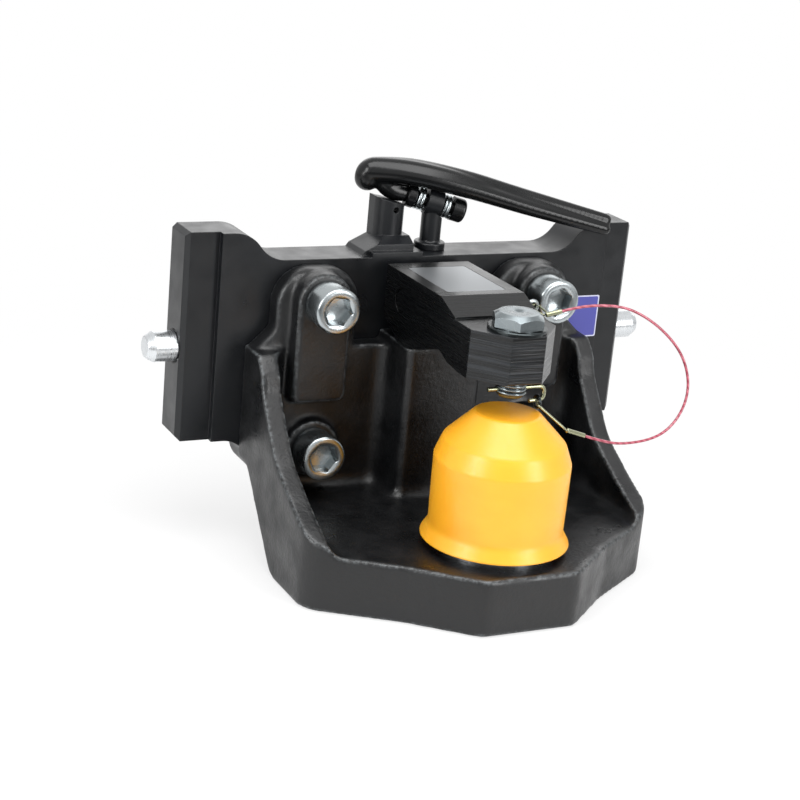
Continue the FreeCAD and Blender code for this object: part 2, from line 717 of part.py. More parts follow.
def arm_pivot_pin():
    pin = rod(V(-arm_x + 0.6, arm_pivot_y, arm_pivot_z), X_AXIS, pivot_pin_d / 2, 2 * arm_x - 1.2)
    return pin.makeChamfer(0.8, [e for e in pin.Edges if len(e.Vertexes) == 1])


def hold_down_arm():
    under = pillar_top + slip
    swing = arm_pivot_z - under
    profile = [(arm_back, arm_top), (46.2, arm_top, 2), (25.5, nose_top + 1.3), (25.5, nose_top),
               (nose_front, nose_top, 0), (nose_front, nose_low, 2), (14, nose_low, 6), (30, 66.4, 8), (42, 71.3, 6),
               (84, under, 10), (arm_pivot_y, under)]
    heel = [V(0, arm_pivot_y, under), V(0, arm_pivot_y + swing * math.sin(0.8), arm_pivot_z - swing * math.cos(0.8)),
            V(0, arm_pivot_y + 23.0, arm_pivot_z - math.sqrt(swing * swing - 23.0 * 23.0))]
    wire = outline(profile + [(arm_back, heel[2].z)], in_yz)
    body = Part.Face(wire).extrude(V(2 * arm_x, 0, 0))
    body.translate(V(-arm_x, 0, 0))
    round_heel = rod(V(-arm_x - 1, arm_pivot_y, arm_pivot_z), X_AXIS, swing, 2 * arm_x + 2)
    low_back = box(-arm_x - 1, arm_x + 1, arm_pivot_y, arm_back + 1, under - 1, arm_pivot_z)
    body = body.cut(low_back.cut(round_heel))
    for side_x in (-1, 1):
        corner = [(side_x * arm_x, nose_side_y), (side_x * nose_half, nose_front),
                  (side_x * nose_half, nose_front - 5), (side_x * (arm_x + 5), nose_front - 5),
                  (side_x * (arm_x + 5), nose_side_y)]
        body = body.cut(prism(corner, in_xy, V(0, 0, nose_low - 10), V(0, 0, 60)))
    slot = box(-tongue_x - slip, tongue_x + slip, 70, arm_back + 1, under - 5, 99.2)
    body = body.cut(slot)
    body = body.cut(rod(V(-40, arm_pivot_y, arm_pivot_z), X_AXIS, pivot_pin_d / 2 + running_gap, 80))
    panel = prism([(-21, 54, 2), (21, 54, 2), (21, 112, 2), (-21, 112, 2)], in_xy, V(0, 0, arm_top - 0.5), V(0, 0, 2))
    body = body.cut(panel)
    body = body.cut(rod(V(0, 0, 50), Z_AXIS, bolt_d / 2 + 0.1, 60))
    body = body.cut(rod(eye_root, V(-1, 0, 0), 2.5, 10))
    return body.removeSplitter()


hold_washer_t = 2.3
hold_head_h = 9.2
bolt_tip = 53.5
clip_z = 58.0
eye_root = V(arm_x, 44, 96)


def hold_bolt_washer():
    ring = rod(V(0, 0, nose_top), Z_AXIS, 18.5, hold_washer_t)
    ring = ring.makeChamfer(0.6, [e for e in ring.Edges if e.BoundBox.ZMin > nose_top + 1])
    return ring.cut(rod(V(0, 0, nose_top - 1), Z_AXIS, bolt_d / 2 + 0.5, 9))


def hold_down_bolt():
    seat = nose_top + hold_washer_t
    head = hex_block(30.0, hold_head_h, seat)
    head.rotate(V(0, 0, 0), Z_AXIS, 12)
    stem = turned([(0, bolt_tip), (8.5, bolt_tip), (10, bolt_tip + 1.5), (10, seat), (0, seat)])
    return head.fuse(stem).cut(rod(V(-30, 0, clip_z), X_AXIS, 1.9, 60))


clip_r = 1.3
clip_x = 24.0
clip_drop = 9.0


# wire pin through the bolt tip, its right end turned down and back
def safety_clip():
    low = clip_z - clip_drop
    route = [(V(-16, 0, clip_z), 0), (V(clip_x, 0, clip_z), 3.6), (V(clip_x, 0, low), 3.6), (V(clip_x - 10, 0, low), 0)]
    return bent_wire(route, clip_r)


ring_x = 20.0
ring_r = 3.65
ring_wire_r = 1.0


def clip_ring():
    ring = Part.makeTorus(ring_r, ring_wire_r)
    return along_axis(ring, X_AXIS, V(ring_x, 0, clip_z - clip_drop + clip_r + 0.3 + ring_wire_r - ring_r))


# lanyard between the clip ring and an eye on the side of the arm
cord_d = 1.8
ferrule_d = 3.0
loop_wire_r = 0.6
eye_ball_r = 3.4
eye_out = 6.0
cord_route = [V(54, -6, 25), V(70, -4.3, 19.2), V(87.1, -2, 15.6), V(110.2, 1, 16.1), V(125.2, 4, 21.5),
              V(135.8, 7, 33.1), V(139.9, 10, 46.8), V(137.1, 13, 61.7), V(129.5, 16, 74.3), V(115.4, 19, 87.1),
              V(100.3, 22, 95.8), V(88.3, 24, 99.4), V(74, 26, 100.2), V(60.5, 28, 99.2), V(49, 30, 96.2)]
ferrule_low = cord_route[0] + (cord_route[0] - cord_route[1]).normalize() * 16
ferrule_high = cord_route[-1] + (cord_route[-1] - cord_route[-2]).normalize() * 11


# tube through the route, each corner rounded as far as its shorter run allows
def lanyard_cord():
    rounded = [(cord_route[0], 0)]
    for before, here, after in zip(cord_route, cord_route[1:], cord_route[2:]):
        turn = math.pi - (before - here).getAngle(after - here)
        reach = 0.45 * min((before - here).Length, (after - here).Length)
        rounded.append((here, reach / math.tan(turn / 2)))
    rounded.append((cord_route[-1], 0))
    edges = rounded_route(rounded)
    length = sum(edge.Length for edge in edges)
    tube = wire_along(edges, cord_d / 2)
    print("cord radii", [round(bend, 1) for p, bend in rounded[1:-1]], "length", round(length, 1))
    print("cord volume", round(tube.Volume, 1), round(length * math.pi * cord_d * cord_d / 4, 1))
    return tube


def ferrule(cord_end, loop_end):
    along = loop_end - cord_end
    body = rod(cord_end, along, ferrule_d / 2, along.Length)
    return body.makeChamfer(0.5, [e for e in body.Edges if len(e.Vertexes) == 1])


def lanyard_ferrules():
    return Part.makeCompound([ferrule(cord_route[0], ferrule_low), ferrule(cord_route[-1], ferrule_high)])


# wire bight out of a ferrule, round a ring or eye and back
def bight(cord_end, start, tip, half):
    along = (tip - start).normalize()
    across = along.cross(Z_AXIS).normalize()
    close = across * (loop_wire_r + 0.1)
    wide = across * half
    route = [(start + close, 0), (start + wide + along * 4, 3.0), (tip + wide, half * 0.95),
             (tip - wide, half * 0.95), (start - wide + along * 4, 3.0), (start - close, 0)]
    return bent_wire(route, loop_wire_r).cut(ferrule(cord_end, start))


def lanyard_loops():
    low_tip = V(ring_x - 1.6, -2.85, clip_z - clip_drop - 1.6)
    high_tip = eye_root + V(eye_out + 2.45, 2.6, 0)
    low_bight = bight(cord_route[0], ferrule_low, low_tip, 2.85)
    return Part.makeCompound([low_bight, bight(cord_route[-1], ferrule_high, high_tip, 2.9)])


# screw eye in the right side of the arm
def lanyard_eye():
    stem = rod(eye_root - X_AXIS * 9, X_AXIS, 2.4, 9 + 2.2)
    flange = rod(eye_root, X_AXIS, 4.2, 1.4)
    ring = Part.makeTorus(eye_ball_r, 1.2)
    ring = along_axis(ring, Y_AXIS, eye_root + X_AXIS * eye_out)
    return stem.fuse(flange).fuse(ring).removeSplitter()


def build():
    os.makedirs("parts", exist_ok=True)
    nodes = {
        "slider_plate": slider_plate(),
        "gear_cover": gear_cover(),
        "cover_screws": cover_screws(),
        "locking_pin_left": locking_pin(-1),
        "locking_pin_right": locking_pin(1),
        "rack_left": rack(-1),
        "rack_right": rack(1),
        "rack_screw_left": rack_screw(-1),
        "rack_screw_right": rack_screw(1),
        "pinion_left": pinion(-1),
        "pinion_right": pinion(1),
        "lever_shaft": lever_shaft(),
        "return_spring": return_spring(),
        "lever_handle": lever_handle(),
        "leg_sleeve": leg_sleeve(),
        "leg_springs": leg_springs(),
        "leg_cap": leg_cap(),
        "hitch_bracket": hitch_bracket(),
        "bracket_bolts": bracket_bolts(),
        "tow_ball": tow_ball(),
        "ball_washer": ball_washer(),
        "ball_nut": ball_nut(),
        "ball_cap": ball_cap(),
        "arm_pivot_pin": arm_pivot_pin(),
        "hold_down_arm": hold_down_arm(),
        "hold_bolt_washer": hold_bolt_washer(),
        "hold_down_bolt": hold_down_bolt(),
        "safety_clip": safety_clip(),
        "clip_ring": clip_ring(),
        "lanyard_eye": lanyard_eye(),
        "lanyard_loops": lanyard_loops(),
        "lanyard_ferrules": lanyard_ferrules(),
        "lanyard_cord": lanyard_cord(),
    }
    for name, shape in nodes.items():
        box_now = shape.BoundBox
        print(name, len(shape.Solids), shape.isValid(), round(shape.Volume), box_now)
        shape.exportStep("parts/" + name + ".step")


build()
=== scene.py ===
import math

import bmesh
import bpy
from mathutils import Matrix, Vector


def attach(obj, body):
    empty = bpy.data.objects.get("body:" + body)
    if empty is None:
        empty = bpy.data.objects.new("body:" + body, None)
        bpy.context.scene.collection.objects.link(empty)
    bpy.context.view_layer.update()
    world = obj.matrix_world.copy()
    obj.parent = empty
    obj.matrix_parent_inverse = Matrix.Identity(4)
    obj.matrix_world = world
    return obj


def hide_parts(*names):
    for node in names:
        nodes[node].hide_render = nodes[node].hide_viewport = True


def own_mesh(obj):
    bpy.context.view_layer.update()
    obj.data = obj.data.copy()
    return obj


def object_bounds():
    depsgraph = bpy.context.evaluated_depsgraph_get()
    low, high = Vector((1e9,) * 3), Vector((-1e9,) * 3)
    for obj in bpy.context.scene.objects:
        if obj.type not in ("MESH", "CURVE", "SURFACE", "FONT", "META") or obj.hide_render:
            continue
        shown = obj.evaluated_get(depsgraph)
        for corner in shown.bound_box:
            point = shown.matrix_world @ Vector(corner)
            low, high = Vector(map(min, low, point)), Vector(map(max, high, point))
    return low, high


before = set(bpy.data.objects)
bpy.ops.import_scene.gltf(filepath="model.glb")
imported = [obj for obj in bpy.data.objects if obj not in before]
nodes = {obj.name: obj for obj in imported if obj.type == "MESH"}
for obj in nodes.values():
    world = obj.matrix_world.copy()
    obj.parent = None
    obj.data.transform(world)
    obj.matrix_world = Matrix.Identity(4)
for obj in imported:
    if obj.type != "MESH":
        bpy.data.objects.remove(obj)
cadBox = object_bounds()
mm = 0.001


def hexColor(text):  # sRGB hex to the linear values Blender works in
    out = []
    for i in (0, 2, 4):
        c = int(text[i:i + 2], 16) / 255
        out.append(c / 12.92 if c <= 0.04045 else ((c + 0.055) / 1.055) ** 2.4)
    return (*out, 1.0)


def addNode(tree, kind, props=None, values=None, links=None):
    node = tree.nodes.new(kind)
    for key, value in (props or {}).items():
        setattr(node, key, value)
    for key, value in (values or {}).items():
        node.inputs[key].default_value = value
    for key, source in (links or {}).items():
        tree.links.new(source, node.inputs[key])
    return node


def startMaterial(name, shader):
    mat = bpy.data.materials.new(name)
    mat.use_nodes = True
    tree = mat.node_tree
    tree.nodes.clear()
    surface = addNode(tree, "ShaderNodeBsdfPrincipled", values=shader)
    addNode(tree, "ShaderNodeOutputMaterial", links={"Surface": surface.outputs[0]})
    place = addNode(tree, "ShaderNodeTexCoord").outputs["Object"]
    return mat, tree, surface, place


def linkObject(name, data):
    holder = bpy.data.objects.new(name, data)
    bpy.context.collection.objects.link(holder)
    return holder


print("stage: camera and light")

# Camera solved from the photograph: 86.5 mm lens on a 36 mm sensor, no shift
cameraSet = {
    "place": (-0.57588, -0.96583, 0.41334),
    "turn": (1.25129835, -0.0892391, -0.44880791),
    "lens": 86.51,
    "sensor": 36,
    "nearest": 0.05,
}
lightSet = {
    "top": {"place": (-0.10, -0.25, 1.20), "aim": (0.0, 0.03, 0.0), "size": (1.2, 0.9), "power": 15.0},
    "left": {"place": (-1.45, -0.40, 0.60), "aim": (0.0, 0.0, 0.03), "size": (0.6, 0.9), "power": 12.0},
    "right": {"place": (0.68, -1.24, 0.45), "aim": (0.0, 0.0, 0.03), "size": (0.5, 1.0), "power": 10.5},
    "back": {"place": (0.95, 1.75, 0.72), "aim": (0.05, 0.1, 0.05), "size": (2.4, 1.1), "power": 8.5},
}
roomSet = {"mirrored": 0.9, "onPaint": 0.42}  # how bright the room is in metal, and on paint

camera = linkObject("camera", bpy.data.cameras.new("camera"))
camera.location = cameraSet["place"]
camera.rotation_euler = cameraSet["turn"]
camera.data.lens = cameraSet["lens"]
camera.data.sensor_width = cameraSet["sensor"]
camera.data.clip_start = cameraSet["nearest"]
bpy.context.scene.camera = camera
bpy.context.scene.view_settings.view_transform = "Standard"

for name, spec in lightSet.items():
    lamp = bpy.data.lights.new("light" + name.capitalize(), "AREA")
    lamp.shape = "RECTANGLE"
    lamp.size, lamp.size_y = spec["size"]
    lamp.energy = spec["power"]
    holder = linkObject(lamp.name, lamp)
    holder.location = spec["place"]
    aim = Vector(spec["aim"]) - holder.location
    holder.rotation_euler = aim.to_track_quat("-Z", "Y").to_euler()

# White room for the camera and for what the metal mirrors, dimmer for what lights the paint
world = bpy.data.worlds.new("room")
bpy.context.scene.world = world
world.use_nodes = True
tree = world.node_tree
tree.nodes.clear()
rays = addNode(tree, "ShaderNodeLightPath")
shown = addNode(tree, "ShaderNodeMath", {"operation": "MAXIMUM"},
                links={0: rays.outputs["Is Camera Ray"], 1: rays.outputs["Is Transmission Ray"]})
mirrored = addNode(tree, "ShaderNodeMath", {"operation": "MULTIPLY"}, {1: roomSet["mirrored"]},
                   {0: rays.outputs["Is Glossy Ray"]})
strength = addNode(tree, "ShaderNodeMath", {"operation": "MAXIMUM"},
                   links={0: shown.outputs[0], 1: mirrored.outputs[0]})
level = addNode(tree, "ShaderNodeMath", {"operation": "MAXIMUM"}, {1: roomSet["onPaint"]},
                {0: strength.outputs[0]})
white = addNode(tree, "ShaderNodeBackground", values={"Color": (1, 1, 1, 1)},
                links={"Strength": level.outputs[0]})
addNode(tree, "ShaderNodeOutputWorld", links={"Surface": white.outputs[0]})

floorSet = {
    "level": cadBox[0][2] - 0.5 * mm, "reach": 6.0, "color": "f4f4f4", "roughness": 0.9,
    "whiteFrom": 0.30, "whiteTo": 0.75, "whiteNear": 0.70,  # own white, for the camera alone
    "sheetEnd": -0.20, "roomStart": -0.42, "roomShare": 0.85, "roomLevel": 0.05,  # for mirrors alone
}
r = floorSet["reach"]
z = floorSet["level"]
floorMesh = bpy.data.meshes.new("floor")
floorMesh.from_pydata([(-r, -r, z), (r, -r, z), (r, r, z), (-r, r, z)], [], [(0, 1, 2, 3)])
floor = linkObject("floor", floorMesh)
floorMat, tree, surface, place = startMaterial(
    "paleFloor", {"Base Color": hexColor(floorSet["color"]), "Roughness": floorSet["roughness"]})
rays = addNode(tree, "ShaderNodeLightPath")
glow = addNode(tree, "ShaderNodeEmission", values={"Color": (1, 1, 1, 1), "Strength": 1.0})
away = addNode(tree, "ShaderNodeVectorMath", {"operation": "LENGTH"}, links={0: place})
paler = addNode(tree, "ShaderNodeMapRange", {"interpolation_type": "SMOOTHSTEP"},
                {"From Min": floorSet["whiteFrom"], "From Max": floorSet["whiteTo"],
                 "To Min": floorSet["whiteNear"], "To Max": 1.0}, {"Value": away.outputs["Value"]})
ownWhite = addNode(tree, "ShaderNodeMath", {"operation": "MULTIPLY"},
                   links={0: rays.outputs["Is Camera Ray"], 1: paler.outputs[0]})
floorPlace = addNode(tree, "ShaderNodeSeparateXYZ", links={0: place})
beyond = addNode(tree, "ShaderNodeMapRange", {"interpolation_type": "SMOOTHSTEP"},
                 {"From Min": floorSet["sheetEnd"], "From Max": floorSet["roomStart"],
                  "To Min": 0.0, "To Max": floorSet["roomShare"]}, {"Value": floorPlace.outputs["Y"]})
inMirrors = addNode(tree, "ShaderNodeMath", {"operation": "MULTIPLY"},
                    links={0: rays.outputs["Is Glossy Ray"], 1: beyond.outputs[0]})
darkRoom = addNode(tree, "ShaderNodeEmission",  # the room past the white sheet
                   values={"Color": (1, 1, 1, 1), "Strength": floorSet["roomLevel"]})
sheet = addNode(tree, "ShaderNodeMixShader",
                links={0: inMirrors.outputs[0], 1: surface.outputs[0], 2: darkRoom.outputs[0]})
seen = addNode(tree, "ShaderNodeMixShader",
               links={0: ownWhite.outputs[0], 1: sheet.outputs[0], 2: glow.outputs[0]})
output = [n for n in tree.nodes if n.type == "OUTPUT_MATERIAL"][0]
tree.links.new(seen.outputs[0], output.inputs["Surface"])
floorMesh.materials.append(floorMat)

print("stage: materials")


# Satin enamel over sand-cast iron: near black, gritty skin, rims painted paler in broken lines, partly edge
# wear and partly a painted highlight
def makeCastEnamel():
    spec = {"dark": "060708", "pale": "101113", "wearAndGlint": "5e6264", "cloudMm": 17.0, "wearAndGlintMm": 1.6,
            "rim": (0.518, 0.55), "broken": (0.42, 0.60), "gloss": (0.27, 0.50),
            "gritMm": 1.1, "gritDeepMm": 0.32, "lumpMm": 9.0, "lumpDeepMm": 1.0}
    mat, tree, surface, place = startMaterial("castEnamel", {"Specular IOR Level": 0.5})
    cloud = addNode(tree, "ShaderNodeTexNoise",
                    values={"Scale": 1000 / spec["cloudMm"] / 2, "Detail": 3.0}, links={"Vector": place})
    tone = addNode(tree, "ShaderNodeMix", {"data_type": "RGBA"},
                   {6: hexColor(spec["dark"]), 7: hexColor(spec["pale"])}, {0: cloud.outputs["Fac"]})
    # Sharp convex rims, broken up by noise, get the pale colour: rubbed edge wear together with a painted
    # highlight of the rounded edges
    point = addNode(tree, "ShaderNodeNewGeometry").outputs["Pointiness"]
    rim = addNode(tree, "ShaderNodeMapRange",
                  values={"From Min": spec["rim"][0], "From Max": spec["rim"][1]}, links={"Value": point})
    rubAndGlint = addNode(tree, "ShaderNodeTexNoise",
                  values={"Scale": 1000 / spec["wearAndGlintMm"] / 2, "Detail": 5.0, "Roughness": 0.7},
                  links={"Vector": place})
    broken = addNode(tree, "ShaderNodeMapRange",
                     values={"From Min": spec["broken"][0], "From Max": spec["broken"][1]},
                     links={"Value": rubAndGlint.outputs["Fac"]})
    wearAndGlint = addNode(tree, "ShaderNodeMath", {"operation": "MULTIPLY"},
                   links={0: rim.outputs[0], 1: broken.outputs[0]})
    skin = addNode(tree, "ShaderNodeMix", {"data_type": "RGBA"}, {7: hexColor(spec["wearAndGlint"])},
                   {0: wearAndGlint.outputs[0], 6: tone.outputs[2]})
    tree.links.new(skin.outputs[2], surface.inputs["Base Color"])
    grit = addNode(tree, "ShaderNodeTexNoise",
                   values={"Scale": 1000 / spec["gritMm"] / 2, "Detail": 4.0, "Roughness": 0.6},
                   links={"Vector": place})
    lump = addNode(tree, "ShaderNodeTexNoise",
                   values={"Scale": 1000 / spec["lumpMm"] / 2, "Detail": 2.0}, links={"Vector": place})
    gloss = addNode(tree, "ShaderNodeMapRange",
                    values={"From Min": 0.3, "From Max": 0.7,
                            "To Min": spec["gloss"][0], "To Max": spec["gloss"][1]},
                    links={"Value": lump.outputs["Fac"]})
    tree.links.new(gloss.outputs[0], surface.inputs["Roughness"])
    coarse = addNode(tree, "ShaderNodeBump",
                     values={"Strength": 0.6, "Distance": spec["lumpDeepMm"] * mm},
                     links={"Height": lump.outputs["Fac"]})
    fine = addNode(tree, "ShaderNodeBump",
                   values={"Strength": 0.85, "Distance": spec["gritDeepMm"] * mm},
                   links={"Height": grit.outputs["Fac"], "Normal": coarse.outputs[0]})
    tree.links.new(fine.outputs[0], surface.inputs["Normal"])
    return mat


# Satin black paint on flame-cut and milled steel plate: smooth faces with a faint orange peel
def makePlatePaint():
    spec = {"dark": "0c0d0f", "pale": "17191c", "cloudMm": 35.7, "smearMm": 8.33, "gloss": (0.27, 0.42),
            "peelMm": 1.6, "peelDeepMm": 0.12, "edgeMm": 0.8}
    mat, tree, surface, place = startMaterial("platePaint", {"Specular IOR Level": 0.37})
    cloud = addNode(tree, "ShaderNodeTexNoise",
                    values={"Scale": 1000 / spec["cloudMm"] / 2, "Detail": 4.0}, links={"Vector": place})
    tone = addNode(tree, "ShaderNodeMix", {"data_type": "RGBA"},
                   {6: hexColor(spec["dark"]), 7: hexColor(spec["pale"])}, {0: cloud.outputs["Fac"]})
    tree.links.new(tone.outputs[2], surface.inputs["Base Color"])
    smear = addNode(tree, "ShaderNodeTexNoise",
                    values={"Scale": 1000 / spec["smearMm"] / 2, "Detail": 5.0}, links={"Vector": place})
    gloss = addNode(tree, "ShaderNodeMapRange",
                    values={"From Min": 0.3, "From Max": 0.7,
                            "To Min": spec["gloss"][0], "To Max": spec["gloss"][1]},
                    links={"Value": smear.outputs["Fac"]})
    tree.links.new(gloss.outputs[0], surface.inputs["Roughness"])
    peel = addNode(tree, "ShaderNodeTexNoise",
                   values={"Scale": 1000 / spec["peelMm"] / 2, "Detail": 2.0}, links={"Vector": place})
    soft = addNode(tree, "ShaderNodeBevel", {"samples": 4}, {"Radius": spec["edgeMm"] * mm})
    bump = addNode(tree, "ShaderNodeBump",
                   values={"Strength": 0.22, "Distance": spec["peelDeepMm"] * mm},
                   links={"Height": peel.outputs["Fac"], "Normal": soft.outputs[0]})
    tree.links.new(bump.outputs[0], surface.inputs["Normal"])
    return mat


# Black-coated milled steel: level cutter passes stay visible on the nose as fine horizontal lines
def makeMilledBlack():
    spec = {"dark": "060708", "pale": "23262a", "passMm": 2.0, "passLongMm": 111.0, "passDeepMm": 0.35,
            "lineMm": 0.5, "lineLongMm": 40.0, "lineDeepMm": 0.05, "noseMm": (10.0, 4.0),
            "gloss": (0.20, 0.36), "edgeMm": 0.5}
    mat, tree, surface, place = startMaterial("milledBlack", {"Specular IOR Level": 0.42})
    wide = 1000 / spec["passLongMm"]
    stretch = addNode(tree, "ShaderNodeMapping", values={"Scale": (wide, wide, 1000 / spec["passMm"])},
                      links={"Vector": place})
    passes = addNode(tree, "ShaderNodeTexNoise", values={"Scale": 1.0, "Detail": 2.0, "Roughness": 0.7},
                     links={"Vector": stretch.outputs[0]})
    wide = 1000 / spec["lineLongMm"]
    thin = addNode(tree, "ShaderNodeMapping", values={"Scale": (wide, wide, 1000 / spec["lineMm"])},
                   links={"Vector": place})
    lines = addNode(tree, "ShaderNodeTexNoise", values={"Scale": 1.0, "Detail": 3.0},
                    links={"Vector": thin.outputs[0]})
    along = addNode(tree, "ShaderNodeSeparateXYZ", links={0: place})
    nose = addNode(tree, "ShaderNodeMapRange",
                   values={"From Min": spec["noseMm"][0] * mm, "From Max": spec["noseMm"][1] * mm},
                   links={"Value": along.outputs["Y"]})
    cut = addNode(tree, "ShaderNodeMath", {"operation": "MULTIPLY"},
                  links={0: passes.outputs["Fac"], 1: nose.outputs[0]})
    bright = addNode(tree, "ShaderNodeMapRange", values={"From Min": 0.46, "From Max": 0.66},
                     links={"Value": cut.outputs[0]})
    tone = addNode(tree, "ShaderNodeMix", {"data_type": "RGBA"},
                   {6: hexColor(spec["dark"]), 7: hexColor(spec["pale"])}, {0: bright.outputs[0]})
    tree.links.new(tone.outputs[2], surface.inputs["Base Color"])
    gloss = addNode(tree, "ShaderNodeMapRange",
                    values={"From Min": 0.3, "From Max": 0.7,
                            "To Min": spec["gloss"][0], "To Max": spec["gloss"][1]},
                    links={"Value": lines.outputs["Fac"]})
    tree.links.new(gloss.outputs[0], surface.inputs["Roughness"])
    soft = addNode(tree, "ShaderNodeBevel", {"samples": 4}, {"Radius": spec["edgeMm"] * mm})
    first = addNode(tree, "ShaderNodeBump",
                    values={"Strength": 0.9, "Distance": spec["passDeepMm"] * mm},
                    links={"Height": cut.outputs[0], "Normal": soft.outputs[0]})
    second = addNode(tree, "ShaderNodeBump",
                     values={"Strength": 0.35, "Distance": spec["lineDeepMm"] * mm},
                     links={"Height": lines.outputs["Fac"], "Normal": first.outputs[0]})
    tree.links.new(second.outputs[0], surface.inputs["Normal"])
    return mat


# Zinc plating on steel: white metal, slightly cloudy, soft edges, in the tones given by name
def makeZinc(name, pale, dull):
    spec = {"cloudMm": 9.0, "gloss": (0.20, 0.30), "edgeMm": 0.35, "grainMm": 0.3125, "grainDeepMm": 0.04}
    mat, tree, surface, place = startMaterial(name, {"Metallic": 1.0})
    cloud = addNode(tree, "ShaderNodeTexNoise",
                    values={"Scale": 1000 / spec["cloudMm"] / 2, "Detail": 4.0}, links={"Vector": place})
    tone = addNode(tree, "ShaderNodeMix", {"data_type": "RGBA"}, {6: hexColor(dull), 7: hexColor(pale)},
                   {0: cloud.outputs["Fac"]})
    tree.links.new(tone.outputs[2], surface.inputs["Base Color"])
    gloss = addNode(tree, "ShaderNodeMapRange",
                    values={"From Min": 0.3, "From Max": 0.7,
                            "To Min": spec["gloss"][0], "To Max": spec["gloss"][1]},
                    links={"Value": cloud.outputs["Fac"]})
    tree.links.new(gloss.outputs[0], surface.inputs["Roughness"])
    soft = addNode(tree, "ShaderNodeBevel", {"samples": 4}, {"Radius": spec["edgeMm"] * mm})
    grain = addNode(tree, "ShaderNodeTexNoise",
                    values={"Scale": 1000 / spec["grainMm"] / 2, "Detail": 2.0}, links={"Vector": place})
    bump = addNode(tree, "ShaderNodeBump",
                   values={"Strength": 0.15, "Distance": spec["grainDeepMm"] * mm},
                   links={"Height": grain.outputs["Fac"], "Normal": soft.outputs[0]})
    tree.links.new(bump.outputs[0], surface.inputs["Normal"])
    return mat


# Turned steel: fine rings round the axis given, X for the locking pins and Z for the tow ball
def makeTurnedSteel(name, pale, dull, axis):
    spec = {"lineMm": 0.35, "lineLongMm": 166.7, "lineDeepMm": 0.03, "cloudMm": 7.14,
            "gloss": (0.18, 0.34), "edgeMm": 0.4}
    mat, tree, surface, place = startMaterial(name, {"Metallic": 1.0})
    scale = [1000 / spec["lineLongMm"]] * 3
    scale[axis] = 1000 / spec["lineMm"]
    stretch = addNode(tree, "ShaderNodeMapping", values={"Scale": scale}, links={"Vector": place})
    rings = addNode(tree, "ShaderNodeTexNoise", values={"Scale": 1.0, "Detail": 2.0},
                    links={"Vector": stretch.outputs[0]})
    cloud = addNode(tree, "ShaderNodeTexNoise",
                    values={"Scale": 1000 / spec["cloudMm"] / 2, "Detail": 3.0}, links={"Vector": place})
    tone = addNode(tree, "ShaderNodeMix", {"data_type": "RGBA"}, {6: hexColor(dull), 7: hexColor(pale)},
                   {0: cloud.outputs["Fac"]})
    tree.links.new(tone.outputs[2], surface.inputs["Base Color"])
    gloss = addNode(tree, "ShaderNodeMapRange",
                    values={"From Min": 0.3, "From Max": 0.7,
                            "To Min": spec["gloss"][0], "To Max": spec["gloss"][1]},
                    links={"Value": rings.outputs["Fac"]})
    tree.links.new(gloss.outputs[0], surface.inputs["Roughness"])
    soft = addNode(tree, "ShaderNodeBevel", {"samples": 4}, {"Radius": spec["edgeMm"] * mm})
    bump = addNode(tree, "ShaderNodeBump",
                   values={"Strength": 0.25, "Distance": spec["lineDeepMm"] * mm},
                   links={"Height": rings.outputs["Fac"], "Normal": soft.outputs[0]})
    tree.links.new(bump.outputs[0], surface.inputs["Normal"])
    return mat


# Dip-coated PVC on the handle: deep black, wet gloss, long soft waves in the skin
def makeDipCoat():
    spec = {"color": "08090a", "waveMm": 14.0, "waveDeepMm": 0.2, "gloss": (0.20, 0.28)}
    mat, tree, surface, place = startMaterial(
        "dipCoat", {"Base Color": hexColor(spec["color"]), "Specular IOR Level": 0.36})
    wave = addNode(tree, "ShaderNodeTexNoise",
                   values={"Scale": 1000 / spec["waveMm"] / 2, "Detail": 1.0}, links={"Vector": place})
    gloss = addNode(tree, "ShaderNodeMapRange",
                    values={"From Min": 0.3, "From Max": 0.7,
                            "To Min": spec["gloss"][0], "To Max": spec["gloss"][1]},
                    links={"Value": wave.outputs["Fac"]})
    tree.links.new(gloss.outputs[0], surface.inputs["Roughness"])
    bump = addNode(tree, "ShaderNodeBump",
                   values={"Strength": 0.08, "Distance": spec["waveDeepMm"] * mm},
                   links={"Height": wave.outputs["Fac"]})
    tree.links.new(bump.outputs[0], surface.inputs["Normal"])
    return mat


# Blow-moulded yellow polyethylene: waxy, slightly translucent, faint flow bands
def makeYellowCap():
    spec = {"warm": "f7a61a", "pale": "fbb52c", "flowMm": 12.0, "flowLongMm": 33.3,
            "skinMm": 1.19, "skinDeepMm": 0.15, "gloss": (0.30, 0.44), "glowMm": 3.0}
    mat, tree, surface, place = startMaterial("yellowPolyethylene", {
        "Specular IOR Level": 0.66, "Subsurface Weight": 0.15,
        "Subsurface Scale": spec["glowMm"] * mm, "Subsurface Radius": (1.0, 0.7, 0.2)})
    wide = 1000 / spec["flowLongMm"]
    stretch = addNode(tree, "ShaderNodeMapping", values={"Scale": (wide, wide, 1000 / spec["flowMm"])},
                      links={"Vector": place})
    flow = addNode(tree, "ShaderNodeTexNoise", values={"Scale": 1.0, "Detail": 3.0},
                   links={"Vector": stretch.outputs[0]})
    tone = addNode(tree, "ShaderNodeMix", {"data_type": "RGBA"},
                   {6: hexColor(spec["warm"]), 7: hexColor(spec["pale"])}, {0: flow.outputs["Fac"]})
    tree.links.new(tone.outputs[2], surface.inputs["Base Color"])
    skin = addNode(tree, "ShaderNodeTexNoise",
                   values={"Scale": 1000 / spec["skinMm"] / 2, "Detail": 3.0}, links={"Vector": place})
    gloss = addNode(tree, "ShaderNodeMapRange",
                    values={"From Min": 0.3, "From Max": 0.7,
                            "To Min": spec["gloss"][0], "To Max": spec["gloss"][1]},
                    links={"Value": skin.outputs["Fac"]})
    tree.links.new(gloss.outputs[0], surface.inputs["Roughness"])
    bump = addNode(tree, "ShaderNodeBump",
                   values={"Strength": 0.12, "Distance": spec["skinDeepMm"] * mm},
                   links={"Height": skin.outputs["Fac"]})
    tree.links.new(bump.outputs[0], surface.inputs["Normal"])
    return mat


